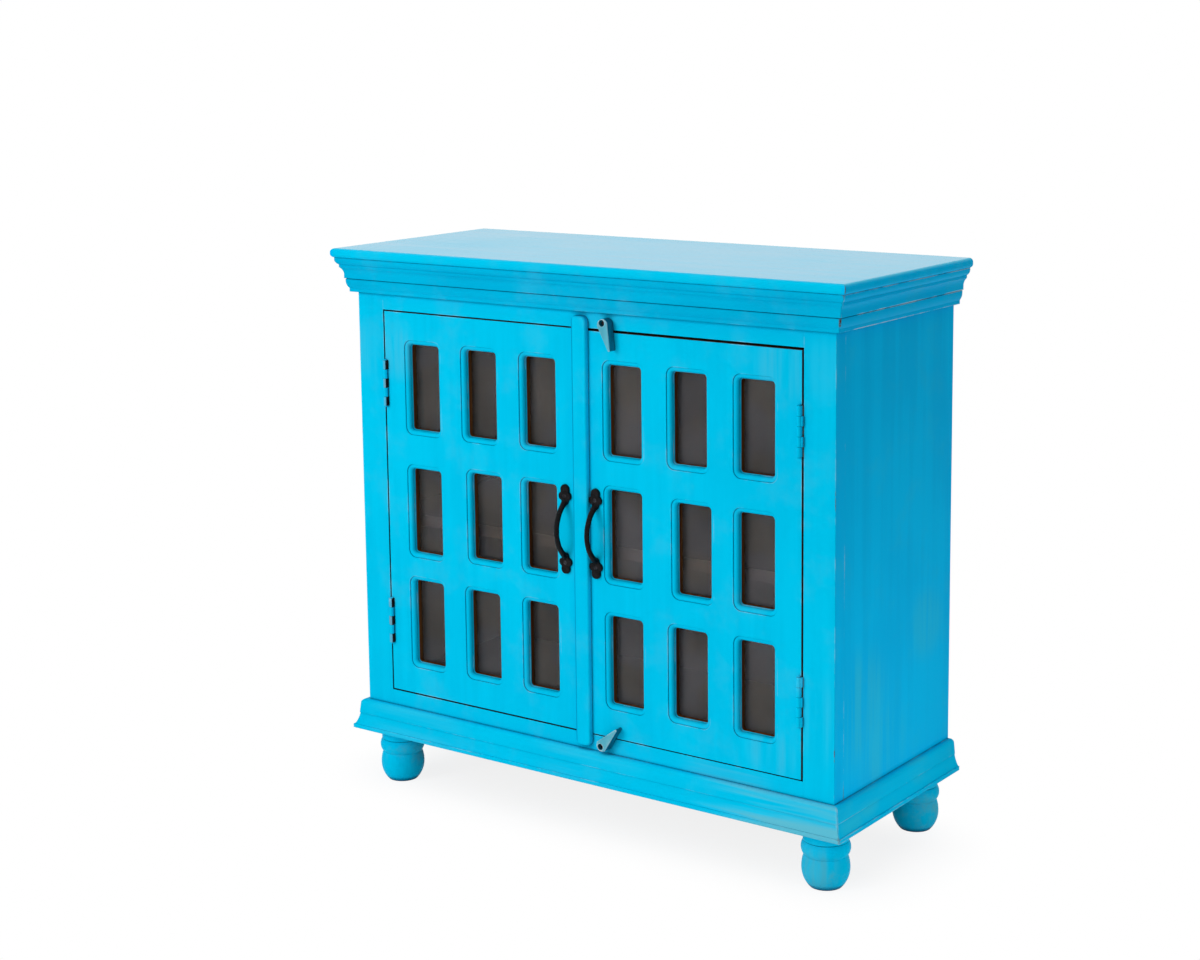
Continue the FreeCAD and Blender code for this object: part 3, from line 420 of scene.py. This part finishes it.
def blend(tree, share, first, second):
    """Goes from the first colour to the second by a share."""
    return add(tree, "ShaderNodeMix", {0: share, 6: first, 7: second}, out=2, data_type="RGBA")


def times(tree, first, second):
    """The product of two values."""
    return calc(tree, "MULTIPLY", first, second)


def largest(tree, values):
    """The largest of several values."""
    result = values[0]
    for value in values[1:]:
        result = calc(tree, "MAXIMUM", result, value)
    return result


def in_box(tree, place, low, high):
    """1 where a point lies in a box, 0 outside."""
    middle = [(a + b) / 2 for a, b in zip(low, high)]
    half = [(b - a) / 2 for a, b in zip(low, high)]
    off = vector(tree, "ABSOLUTE", vector(tree, "SUBTRACT", place, middle))
    off = vector(tree, "SUBTRACT", off, half)
    parts = add(tree, "ShaderNodeSeparateXYZ", {0: off}, out=None)
    return calc(tree, "LESS_THAN", largest(tree, list(parts.outputs)), 0.0)


def along_grain(tree, place, grain, width, length):
    """Streaks of a given width that run along one axis."""
    squeeze = [1.0, 1.0, 1.0]
    squeeze[grain] = width / length
    return noise(tree, vector(tree, "MULTIPLY", place, squeeze), width, 3.0, 0.6)


def spots(tree, place, marks):
    """Soft round spots: each mark is a centre, a radius and a strength."""
    values = []
    for centre, radius, strength in marks:
        off = vector(tree, "DISTANCE", place, centre, out="Value")
        values.append(times(tree, ramp(tree, off, radius, radius * SPOT_CORE), strength))
    return largest(tree, values)


def seen(tree):
    """1 for what the eye, a reflection or a pane shows, 0 for light that falls on a surface."""
    rays = add(tree, "ShaderNodeLightPath", out=None)
    return largest(tree, [rays.outputs[f"Is {kind} Ray"] for kind in ("Camera", "Glossy", "Transmission")])


def brushed_enamel(name, grain, colours=FRONT_ENAMEL, chalk=0.15, wear=0.3, seams=FINE_SEAM_SHADE, rubs=(),
                   knocks=(), bare=(), under=(PINE_DARK, PINE_LIGHT), under_metal=False, polished=None,
                   flanks=()):
    """Oil enamel brushed on wood: streaks along the grain, chalky rubs, rubbed edges and painted shade in the
    seams.

    Where a surface lies in one of the bare boxes, the paint stops and what is under it shows; on the strip's
    edge and the buttons' sides the boxes carry a painted shade instead.
    Between the two heights of polished the paint gets a wax gloss.
    In the flanks it takes the sides' enamel, with its painted shade.
    """
    material, tree, surface = finish(name, IOR=PAINT_IOR, Specular_Tint=linear(ENAMEL_SHEEN))
    place = add(tree, "ShaderNodeTexCoord", out="Object")
    streaks = along_grain(tree, place, grain, BRUSH_WIDTH, BRUSH_LENGTH)
    tone = calc(tree, "ADD", streaks, noise(tree, place, CLOUD, 3.0))
    deep, light, chalky = (linear(code) for code in colours)
    # Painted shade: in the flanks the side faces take the sides' darker, bluer enamel
    if flanks:
        in_shaded_flank = largest(tree, [in_box(tree, place, low, high) for low, high in flanks])
        deep, light, chalky = (blend(tree, in_shaded_flank, tint, linear(code))
                               for tint, code in zip((deep, light, chalky), SHADED_SIDE_ENAMEL))
    colour = blend(tree, ramp(tree, tone, *TONE_SHOWS), deep, light)

    # Chalky bloom, in soft clouds all over and strongest in the rubbed spots
    bloom = noise(tree, place, CHALK_CLOUD, 5.0, 0.65)
    share = times(tree, ramp(tree, bloom, *BLOOM_SHOWS), chalk)
    if rubs:
        rubbed = times(tree, spots(tree, place, rubs), ramp(tree, streaks, *RUB_SHOWS))
        share = largest(tree, [share, rubbed])
    colour = blend(tree, share, colour, chalky)

    # Painted shade: seams and spots under overhangs darken the more closed in they are
    for reach, start, end, strength in seams:
        sky = add(tree, "ShaderNodeAmbientOcclusion", {"Distance": reach}, out="AO", samples=SEAM_SAMPLES)
        painted_shade = times(tree, ramp(tree, sky, start, end), strength)
        colour = blend(tree, painted_shade, colour, linear(ENAMEL_SEAM_SHADE))

    # Edges are rubbed to primer, and in a few chips and knocks to wood
    inner = add(tree, "ShaderNodeAmbientOcclusion", {"Distance": EDGE_REACH}, out="AO", samples=SEAM_SAMPLES,
                inside=True, only_local=True)
    edge = ramp(tree, inner, *EDGE_SHOWS)
    thin = times(tree, edge, ramp(tree, bloom, *(value - PRIMER_GAIN * wear for value in PRIMER_SHOWS)))
    colour = blend(tree, times(tree, thin, wear), colour, linear(PRIMER))
    chips = noise(tree, place, CHIP, 4.0, 0.7)
    missing = ramp(tree, chips, *CHIP_SHOWS)
    if knocks:
        struck = times(tree, spots(tree, place, knocks), ramp(tree, chips, *KNOCK_SHOWS))
        missing = largest(tree, [missing, struck])
    colour = blend(tree, times(tree, edge, missing), colour, linear(CHIPPED_WOOD))

    gloss = carry(tree, tone, PAINT_TONES, PAINT_ROUGHNESS)
    # Bare wood or metal in the bare boxes; on the strip and the buttons their colours are a painted shade
    if bare:
        pine = along_grain(tree, place, grain, PINE_GRAIN_WIDTH, PINE_GRAIN_LENGTH)
        wood = blend(tree, ramp(tree, pine, *BARE_GRAIN_SHOWS), linear(under[0]), linear(under[1]))
        inside = largest(tree, [in_box(tree, place, low, high) for low, high in bare])
        colour = blend(tree, inside, colour, wood)
        gloss = add(tree, "ShaderNodeMix", {0: inside, 2: gloss, 3: BARE_ROUGHNESS})
        if under_metal:
            wire(tree, surface, Metallic=inside)

    if polished:
        height = add(tree, "ShaderNodeSeparateXYZ", {0: place}, out="Z")
        wire(tree, surface, IOR=carry(tree, height, polished, (PAINT_IOR, WAX_IOR)))

    rounded = add(tree, "ShaderNodeBevel", {"Radius": EDGE_ROUND}, samples=PAINT_EDGE_SAMPLES)
    relief = add(tree, "ShaderNodeBump", {"Strength": BRUSH_RELIEF, "Distance": PAINT_FILM,
                                          "Height": streaks, "Normal": rounded})
    wire(tree, surface, Base_Color=colour, Roughness=gloss, Normal=relief)
    return material


def stained_pine(name, grain):
    """Planed pine under a dark brown stain: long soft grain lines with a dull wax sheen."""
    material, tree, surface = finish(name, IOR=PINE_IOR)
    place = add(tree, "ShaderNodeTexCoord", out="Object")
    lines = along_grain(tree, place, grain, PINE_GRAIN_WIDTH, PINE_GRAIN_LENGTH)
    tone = calc(tree, "ADD", lines, noise(tree, place, CLOUD, 2.0))
    colour = blend(tree, ramp(tree, tone, *PINE_SHOWS), linear(PINE_DARK), linear(PINE_LIGHT))
    gloss = carry(tree, lines, FULL, PINE_ROUGHNESS)
    rounded = add(tree, "ShaderNodeBevel", {"Radius": EDGE_ROUND}, samples=PINE_EDGE_SAMPLES)
    relief = add(tree, "ShaderNodeBump", {"Strength": PINE_RELIEF, "Distance": PAINT_FILM, "Height": lines,
                                          "Normal": rounded})
    wire(tree, surface, Base_Color=colour, Roughness=gloss, Normal=relief)
    return material


def forged_metal(name, dark, light, roughness, relief_strength):
    """Iron or steel under black wax: nearly black and uneven, with a soft sheen on its hammer marks."""
    material, tree, surface = finish(name, IOR=METAL_IOR, Specular_IOR_Level=METAL_SHINE)
    place = add(tree, "ShaderNodeTexCoord", out="Object")
    marks = noise(tree, place, HAMMER_MARK, 3.0, 0.55)
    worn = noise(tree, place, SPECKLE, 4.0)
    colour = blend(tree, ramp(tree, worn, *METAL_WEAR_SHOWS), linear(dark), linear(light))
    gloss = carry(tree, marks, METAL_MARKS, (roughness - METAL_UNEVEN, roughness + METAL_UNEVEN))
    relief = add(tree, "ShaderNodeBump", {"Strength": relief_strength, "Distance": HAMMER_DEPTH,
                                          "Height": marks})
    wire(tree, surface, Base_Color=colour, Roughness=gloss, Normal=relief)
    return material


def window_glass(name):
    """Drawn window glass: faint waves, and a thin patchy film of dust that greys the dark inside."""
    material, tree, surface = finish(name, IOR=GLASS_IOR, Roughness=GLASS_ROUGHNESS)
    place = add(tree, "ShaderNodeTexCoord", out="Object")
    ripple = noise(tree, place, GLASS_RIPPLE, 1.0)
    clear = carry(tree, noise(tree, place, DUST_CLOUD, 3.0), GLASS_DUST, GLASS_CLEAR)
    colour = blend(tree, ramp(tree, ripple, *RIPPLE_SHOWS), linear(DUST_GREY), linear(DUST_BROWN))
    relief = add(tree, "ShaderNodeBump", {"Strength": GLASS_RELIEF, "Distance": GLASS_WAVE, "Height": ripple})
    wire(tree, surface, Base_Color=colour, Transmission_Weight=clear, Normal=relief)
    return material


def studio_paper(name):
    """Matt white studio paper: it keeps a pale shadow near the cabinet, and shows plain white farther off."""
    material, tree, surface = finish(name, Roughness=PAPER_ROUGHNESS, Specular_IOR_Level=PAPER_SHINE)
    place = add(tree, "ShaderNodeTexCoord", out="Object")
    fibres = noise(tree, place, PAPER_FIBRE, 3.0)
    wire(tree, surface, Base_Color=blend(tree, fibres, linear(PAPER_SHADE), linear(PAPER)))
    off = vector(tree, "SUBTRACT", vector(tree, "ABSOLUTE", place), PAPER_SHADOW)
    off = vector(tree, "MAXIMUM", off, (0, 0, 0))
    away = vector(tree, "LENGTH", off, out="Value")
    plain = carry(tree, ramp(tree, away, 0.0, PAPER_FADE), FULL, (PAPER_PLAIN, 1.0))
    white = add(tree, "ShaderNodeEmission", {"Color": linear(WHITE), "Strength": 1.0})
    mixed = add(tree, "ShaderNodeMixShader", {0: times(tree, seen(tree), plain), 1: surface.outputs[0],
                                              2: white})
    tree.links.new(mixed, tree.nodes["Material Output"].inputs["Surface"])
    return material


def door_bare(side):
    """The back of a door, the inner part of its window reveals, and its four edges."""
    low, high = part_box(f"door_panel_{side}")
    out = PAST_DOOR
    start, end = low.y + PAINT_LAP, high.y + out
    return [
        ((low.x - out, low.y + REVEAL_PAINT, low.z - out), (high.x + out, end, high.z + out)),
        ((low.x - out, start, low.z - out), (low.x + SKIN, end, high.z + out)),
        ((high.x - SKIN, start, low.z - out), (high.x + out, end, high.z + out)),
        ((low.x - out, start, low.z - out), (high.x + out, end, low.z + SKIN)),
        ((low.x - out, start, high.z - SKIN), (high.x + out, end, high.z + out)),
    ]


def each_side(name):
    """Names of a left and a right piece."""
    return [f"{name}_{side}" for side in SIDES]


def each_corner(name):
    """Names of the pieces at the four corners."""
    return [f"{name}_{row}_{side}" for row in ("front", "back") for side in SIDES]


def coat(names, material):
    """Gives CAD nodes their finish."""
    for name in names:
        nodes[name].data.materials[0] = material


def finish_wood():
    """Paint outside, stain inside."""
    carcass = {"seams": DEEP_SEAM_SHADE, "knocks": KNOCKS, "bare": CARCASS_BARE}
    soft = dict(carcass, seams=SOFT_SEAM_SHADE)
    crisp = dict(carcass, seams=CRISP_SEAM_SHADE)
    low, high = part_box("meeting_strip")
    shaded_closing_edge = ((low.x - SKIN, low.y - SKIN, low.z), (low.x + STRIP_SHADE_WIDTH, high.y, high.z))
    low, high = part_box("turn_button_top")
    shaded_button_sides = ((-SIDE, low.y + BUTTON_FACE, 0), (SIDE, high.y + SKIN, TOP_UNDERSIDE))
    painted = [
        (["top_panel"], "enamel_waxed_on_top", X,
         dict(carcass, polished=(TOP - WAX_EDGE, TOP), flanks=SHADED_FLANKS)),
        (["cornice_front"], "enamel_shaded_on_front_cornice", X, dict(crisp, colours=SHADED_CORNICE_ENAMEL, wear=0.1)),
        (["base_moulding_front"], "enamel_on_front_base", X,
         dict(soft, colours=BASE_ENAMEL, chalk=0.05, rubs=BASE_RUBS)),
        (["face_rail_top", "face_rail_bottom"], "enamel_on_rails", X, dict(carcass, rubs=RAIL_RUBS)),
        (each_side("cornice"), "enamel_shaded_on_side_cornices", Y, dict(crisp, colours=SHADED_SIDE_ENAMEL, wear=0.8)),
        (each_side("base_moulding"), "enamel_shaded_on_side_bases", Y,
         dict(soft, colours=SHADED_SIDE_BASE_ENAMEL, wear=0.4, rubs=SIDE_BASE_RUBS)),
        (each_side("face_stile"), "enamel_on_stiles", Z, dict(carcass, rubs=UPRIGHT_RUBS, flanks=SHADED_FLANKS)),
        (each_side("side_panel"), "enamel_shaded_on_sides", Z,
         dict(soft, colours=SHADED_SIDE_ENAMEL, chalk=0.1, rubs=UPRIGHT_RUBS)),
        (each_corner("foot"), "enamel_on_turned_feet", Z,
         {"colours": FOOT_ENAMEL, "chalk": 0.9, "seams": DEEP_SEAM_SHADE, "rubs": FOOT_RUBS}),
        # The strip's closing edge gets a line of painted shade, not bare wood
        (["meeting_strip"], "enamel_on_strip", Z,
         {"bare": [shaded_closing_edge], "under": (STRIP_EDGE_SHADE_DARK, STRIP_EDGE_SHADE_LIGHT)}),
        # Behind their front face the buttons' sides get a painted shade, not bare wood
        (["turn_button_top", "turn_button_bottom"], "enamel_on_buttons", Z,
         {"colours": BUTTON_ENAMEL, "chalk": 0.5, "wear": 0.8, "bare": [shaded_button_sides],
          "under": (BUTTON_SIDE_SHADE_DARK, BUTTON_SIDE_SHADE_LIGHT)}),
    ]
    for side in SIDES:
        recipe = {"rubs": DOOR_RUBS, "bare": door_bare(side), "under": (DOOR_EDGE_DARK, DOOR_EDGE_LIGHT)}
        painted.append(([f"door_panel_{side}"], f"enamel_on_{side}_door", Z, recipe))
    for names, name, grain, recipe in painted:
        coat(names, brushed_enamel(name, grain, **recipe))

    upright = [f"glazing_bead_{door}_{edge}" for door in SIDES for edge in SIDES]
    across = [f"glazing_bead_{door}_{edge}" for door in SIDES for edge in ("top", "bottom")]
    coat(["shelf", "bottom_panel"] + across, stained_pine("stained_pine_across", X))
    coat(each_side("shelf_cleat"), stained_pine("stained_pine_deep", Y))
    coat(["back_panel"] + each_corner("foot_block") + upright, stained_pine("stained_pine_upright", Z))


def finish_metal_and_glass():
    """Hinges painted over at the front, with the left frame leaves worn and a painted shade on their door
    side, and the panes.
    """
    in_gap = [((-HINGE_LINE - PAST_HINGE, DOOR_FRONT - SKIN, 0.0),
               (HINGE_LINE + PAST_HINGE, INNER_BACK, TOP_UNDERSIDE))]
    hinge = brushed_enamel("enamel_over_brass_hinge", Z, chalk=0.0, wear=0.1, bare=in_gap,
                           under=(BRASS_DARK, BRASS_LIGHT), under_metal=True)
    leaves = [f"hinge_{leaf}_leaf_{side}_{end}" for leaf in ("frame", "door") for side in SIDES
              for end in ENDS]
    coat(leaves + ["hinge_pins"], hinge)

    worn_leaves = [f"hinge_frame_leaf_left_{end}" for end in ENDS]
    # Tarnish and painted shade: the knuckles' door side is nearly black, like the shaded gap beside the door
    door_side_shade = [((-HINGE_LINE + BARREL_BARE, -FAR, 0), (0, FAR, FAR))]
    knuckles = []
    for leaf in worn_leaves:
        low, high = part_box(leaf)
        for share, strength in KNUCKLE_RUBS:
            height = low.z + share * (high.z - low.z)
            knuckles.append(((-HINGE_LINE, low.y, height), KNUCKLE_RUB, strength))
    worn = brushed_enamel("enamel_worn_off_brass_hinge", Z, HINGE_ENAMEL, chalk=0.0, rubs=knuckles,
                          bare=in_gap + door_side_shade, under=(TARNISH_AND_SHADE_DARK, TARNISH_AND_SHADE_LIGHT))
    coat(worn_leaves, worn)
    coat(each_side("glass"), window_glass("drawn_window_glass"))


def solids(node):
    """Boxes of the separate solids in a CAD node."""
    mesh = bmesh.new()
    mesh.from_mesh(nodes[node].data)
    bmesh.ops.remove_doubles(mesh, verts=mesh.verts, dist=WELD)
    left = set(mesh.verts)
    boxes = []
    while left:
        front = [left.pop()]
        found = list(front)
        while front:
            for edge in front.pop().link_edges:
                for vert in edge.verts:
                    if vert in left:
                        left.remove(vert)
                        front.append(vert)
                        found.append(vert)
        low = Vector([min(v.co[i] for v in found) for i in range(3)])
        high = Vector([max(v.co[i] for v in found) for i in range(3)])
        boxes.append((low, high))
    mesh.free()
    return sorted(boxes, key=lambda box: tuple(round(c, 5) for c in box[0]))


def new_object(name, data):
    """A new object in the scene."""
    obj = bpy.data.objects.new(name, data)
    bpy.context.scene.collection.objects.link(obj)
    return obj


def marked_points(name, points, mark, kind, field, values):
    """An object of loose points, each with a value of a named mark."""
    mesh = bpy.data.meshes.new(name)
    mesh.from_pydata(points, [], [])
    mesh.attributes.new(mark, kind, "POINT").data.foreach_set(field, values)
    return new_object(name, mesh)


def settled(obj, name, material):
    """Turns an object with modifiers into a plain mesh object with one finish, and removes the first."""
    graph = bpy.context.evaluated_depsgraph_get()
    mesh = bpy.data.meshes.new_from_object(obj.evaluated_get(graph))
    mesh.name = name
    mesh.materials.clear()
    mesh.materials.append(material)
    old = obj.data
    bpy.data.objects.remove(obj)
    bpy.data.meshes.remove(old)
    return new_object(name, mesh)


def node_tree(name, inputs):
    """A geometry tree with a geometry input, named inputs and a geometry output, and its inputs' sockets."""
    tree = bpy.data.node_groups.new(name, "GeometryNodeTree")
    tree.interface.new_socket("Geometry", in_out="INPUT", socket_type="NodeSocketGeometry")
    for label, kind in inputs:
        tree.interface.new_socket(label, in_out="INPUT", socket_type=f"NodeSocket{kind}")
    tree.interface.new_socket("Geometry", in_out="OUTPUT", socket_type="NodeSocketGeometry")
    return tree, add(tree, "NodeGroupInput", out=None).outputs


def grow(obj, tree, values):
    """Runs a geometry tree on an object with the given inputs."""
    modifier = obj.modifiers.new(tree.name, "NODES")
    modifier.node_group = tree
    for item in tree.interface.items_tree:
        if item.in_out == "INPUT" and item.name in values:
            modifier[item.identifier] = values[item.name]


def turned(name, profile, steps=TURNED_STEPS):
    """A closed turned shape on the Z axis, from pairs of radius and height that start and end on the axis."""
    mesh = bmesh.new()
    turn = [2 * math.pi * i / steps for i in range(steps)]
    rings = []
    for radius, height in profile:
        if radius == 0:
            rings.append([mesh.verts.new((0, 0, height))])
        else:
            rings.append([mesh.verts.new((radius * math.cos(t), radius * math.sin(t), height)) for t in turn])
    for below, above in zip(rings, rings[1:]):
        for i in range(steps):
            j = (i + 1) % steps
            corners = [below[i % len(below)], below[j % len(below)],
                       above[j % len(above)], above[i % len(above)]]
            mesh.faces.new(list(dict.fromkeys(corners)))
    bmesh.ops.recalc_face_normals(mesh, faces=mesh.faces)
    data = bpy.data.meshes.new(name)
    mesh.to_mesh(data)
    mesh.free()
    return data


def screw_tree():
    """Sets a slotted screw on each point, turned to its aim, with its slot at any angle."""
    tree, given = node_tree("slotted_screws", [
        ("Screw", "Object"), ("Slot Width", "Float"), ("Slot Depth", "Float"), ("Head Width", "Float"),
        ("Seed", "Int"), ("Finish", "Material")])
    blank = add(tree, "GeometryNodeObjectInfo", {"Object": given["Screw"]}, out="Geometry")
    deep = calc(tree, "MULTIPLY", given["Slot Depth"], 2.0)
    size = add(tree, "ShaderNodeCombineXYZ", {0: given["Head Width"], 1: given["Slot Width"], 2: deep})
    blade = add(tree, "GeometryNodeMeshCube", {"Size": size})
    cut = add(tree, "GeometryNodeMeshBoolean", {0: blank, 1: blade}, operation="DIFFERENCE", solver="EXACT")
    aim = add(tree, "GeometryNodeInputNamedAttribute", {"Name": "aim"}, data_type="FLOAT_VECTOR")
    stand = add(tree, "FunctionNodeAlignRotationToVector", {"Vector": aim}, axis="Z")
    angle = add(tree, "FunctionNodeRandomValue", {"Max": math.pi, "Seed": given["Seed"]}, out=1,
                data_type="FLOAT")
    spin = add(tree, "FunctionNodeAxisAngleToRotation", {"Axis": (0, 0, 1), "Angle": angle})
    turn = add(tree, "FunctionNodeRotateRotation", {0: stand, 1: spin}, rotation_space="LOCAL")
    placed = add(tree, "GeometryNodeInstanceOnPoints", {"Points": given["Geometry"], "Instance": cut,
                                                        "Rotation": turn})
    whole = add(tree, "GeometryNodeRealizeInstances", {"Geometry": placed})
    done = add(tree, "GeometryNodeSetMaterial", {"Geometry": whole, "Material": given["Finish"]})
    add(tree, "NodeGroupOutput", {0: done}, out=None)
    return tree


def screws(node, profile, slot, tree, material, seed):
    """Slotted screws in the place of a CAD node's plain ones. A profile's height 0 is the top of its head."""
    points, aims = [], []
    for low, high in solids(node):
        middle = (low + high) / 2
        axis = max(range(3), key=lambda i: high[i] - low[i])
        if axis == Y:
            ends = [low.y, high.y]
        else:
            ends = sorted((low.x, high.x), key=lambda x: abs(abs(x) - HINGE_LINE))
        aim = Vector((0, 0, 0))
        aim[axis] = math.copysign(1, ends[0] - ends[1])
        middle[axis] = ends[0]
        points.append(middle)
        aims.append(aim)
    blank = new_object(f"{node}_blank", turned(f"{node}_blank", profile))
    obj = marked_points(f"{node}_places", points, "aim", "FLOAT_VECTOR", "vector",
                        [part for aim in aims for part in aim])
    grow(obj, tree, {"Screw": blank, "Slot Width": slot[0], "Slot Depth": slot[1],
                     "Head Width": SLOT_LENGTH * max(r for r, _ in profile), "Seed": seed,
                     "Finish": material})
    done = settled(obj, f"slotted_{node}", material)
    bpy.data.objects.remove(blank)
    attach(done, nodes[node]["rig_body"])
    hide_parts(node)


def pull_tree():
    """A forged pull: a bow that thins to its middle, on plates made of rounded lobes at the points."""
    tree, given = node_tree("forged_pull", [
        ("Half Bow", "Float"), ("Bow Out", "Float"), ("Bar Radius", "Float"), ("Foot Radius", "Float"),
        ("Lobe Depth", "Float"), ("Wobble", "Float"), ("Finish", "Material")])
    low = calc(tree, "MULTIPLY", given["Half Bow"], -1.0)
    out = calc(tree, "MULTIPLY", given["Bow Out"], -1.0)
    start = add(tree, "ShaderNodeCombineXYZ", {2: low})
    apex = add(tree, "ShaderNodeCombineXYZ", {1: out})
    end = add(tree, "ShaderNodeCombineXYZ", {2: given["Half Bow"]})
    path = add(tree, "GeometryNodeCurveArc", {"Resolution": BOW_STEPS, "Start": start, "Middle": apex,
                                              "End": end}, mode="POINTS")
    along = add(tree, "GeometryNodeSplineParameter", out="Factor")
    off_middle = calc(tree, "ABSOLUTE", calc(tree, "MULTIPLY_ADD", along, 2.0, -1.0))
    swell = calc(tree, "POWER", off_middle, BOW_SWELL)
    radius = add(tree, "ShaderNodeMapRange", {"Value": swell, "To Min": given["Bar Radius"],
                                              "To Max": given["Foot Radius"]})
    ring = add(tree, "GeometryNodeCurvePrimitiveCircle", {"Resolution": BAR_SIDES, "Radius": 1.0})
    bow = add(tree, "GeometryNodeCurveToMesh", {"Curve": path, "Profile Curve": ring, "Scale": radius,
                                                "Fill Caps": True})
    disc = add(tree, "GeometryNodeMeshCylinder", {"Vertices": LOBE_SIDES, "Radius": 1.0, "Depth": 2.0})
    width = add(tree, "GeometryNodeInputNamedAttribute", {"Name": "lobe_radius"}, data_type="FLOAT")
    scale = add(tree, "ShaderNodeCombineXYZ", {0: width, 1: width, 2: given["Lobe Depth"]})
    lobes = add(tree, "GeometryNodeInstanceOnPoints", {"Points": given["Geometry"], "Instance": disc,
                                                       "Rotation": Euler((math.pi / 2, 0, 0)),
                                                       "Scale": scale})
    both = add(tree, "GeometryNodeJoinGeometry", {"Geometry": bow})
    tree.links.new(lobes, both.node.inputs["Geometry"])
    whole = add(tree, "GeometryNodeRealizeInstances", {"Geometry": both})
    lumps = add(tree, "ShaderNodeTexNoise", {"Scale": 1 / FORGE_LUMP, "Detail": 1.0}, out="Color")
    lumps = vector(tree, "SUBTRACT", lumps, (0.5, 0.5, 0.5))
    shift = add(tree, "ShaderNodeVectorMath", {0: lumps, "Scale": given["Wobble"]}, operation="SCALE")
    uneven = add(tree, "GeometryNodeSetPosition", {"Geometry": whole, "Offset": shift})
    done = add(tree, "GeometryNodeSetMaterial", {"Geometry": uneven, "Material": given["Finish"]})
    add(tree, "NodeGroupOutput", {0: done}, out=None)
    return tree


def pull(side, tree, material):
    """A forged pull in the place of the CAD one, its lobes and bow melted into one skin, flat at the back."""
    low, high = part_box(f"pull_{side}")
    centre = Vector(((low.x + high.x) / 2, high.y, (low.z + high.z) / 2))
    points, radii = [], []
    for end in (1, -1):
        for across, height, radius in PULL_LOBES:
            points.append((across * MM, 0, end * height * MM))
            radii.append(radius * MM)
    obj = marked_points(f"pull_{side}_lobes", points, "lobe_radius", "FLOAT", "value", radii)
    grow(obj, tree, {"Finish": material, **{name: size * MM for name, size in PULL_SIZES.items()}})
    skin = obj.modifiers.new("skin", "REMESH")
    skin.mode = "VOXEL"
    skin.voxel_size = PULL_SKIN
    skin.use_smooth_shade = True
    soft = obj.modifiers.new("soft", "SMOOTH")
    soft.factor = PULL_SOFTENING
    soft.iterations = PULL_SOFT_ROUNDS
    done = settled(obj, f"forged_pull_{side}", material)
    for vert in done.data.vertices:
        vert.co.y = min(vert.co.y, 0.0)
    done.data.transform(Matrix.Translation(centre))
    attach(done, f"door_{side}")
    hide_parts(f"pull_{side}")


def build_hardware():
    """Slotted screws and forged pulls."""
    iron = forged_metal("wax_blackened_iron", IRON_DARK, IRON_LIGHT, IRON_ROUGHNESS, IRON_RELIEF)
    steel = forged_metal("blackened_screw_steel", STEEL_DARK, STEEL_LIGHT, STEEL_ROUGHNESS, STEEL_RELIEF)
    tree = screw_tree()
    for seed, (node, outline, slot) in enumerate(SCREWS):
        profile = [(radius * MM, height * MM) for radius, height in outline]
        screws(node, profile, [size * MM for size in slot], tree, steel, seed)
    tree = pull_tree()
    for side in SIDES:
        pull(side, tree, iron)


def build_floor():
    """A wide floor of studio paper."""
    floor = bmesh.new()
    bmesh.ops.create_grid(floor, x_segments=PAPER_GRID, y_segments=PAPER_GRID, size=PAPER_SIZE / 2)
    data = bpy.data.meshes.new("studio_floor")
    floor.to_mesh(data)
    floor.free()
    data.materials.append(studio_paper("studio_paper"))
    new_object("studio_floor", data)


def build_light():
    """A white room that lights the cabinet softly, and lamps that stay out of sight and reflections."""
    world = bpy.data.worlds.new("studio")
    world.use_nodes = True
    bpy.context.scene.world = world
    tree = world.node_tree
    background = tree.nodes["Background"]
    wire(tree, background, Strength=add(tree, "ShaderNodeMix", {0: seen(tree), 2: ROOM_LIGHT, 3: 1.0}))
    background.inputs["Color"].default_value = linear(WHITE)

    for name, place, aim, width, watts in LAMPS:
        lamp = bpy.data.lights.new(name, "AREA")
        lamp.shape = "DISK"
        lamp.size = width
        lamp.energy = watts
        obj = new_object(name, lamp)
        obj.location = place
        obj.rotation_euler = (Vector(aim) - Vector(place)).to_track_quat("-Z", "Y").to_euler()
        obj.visible_camera = False
        obj.visible_glossy = False


def build_camera():
    """The camera at the photo's place and angle."""
    camera = bpy.data.cameras.new("camera")
    camera.sensor_width = SENSOR_WIDTH
    camera.lens = FOCAL_PIXELS / IMAGE_WIDTH * camera.sensor_width
    camera.shift_x = -(OPTICAL_CENTRE[0] - IMAGE_WIDTH / 2) / IMAGE_WIDTH
    camera.shift_y = (OPTICAL_CENTRE[1] - IMAGE_HEIGHT / 2) / IMAGE_WIDTH
    obj = new_object("camera", camera)
    obj.location = CAMERA_PLACE
    obj.rotation_euler = Euler([math.radians(a) for a in CAMERA_TURN], "XYZ")
    bpy.context.scene.camera = obj
    bpy.context.scene.view_settings.view_transform = "Standard"


finish_wood()
finish_metal_and_glass()
build_hardware()
build_floor()
build_light()
build_camera()
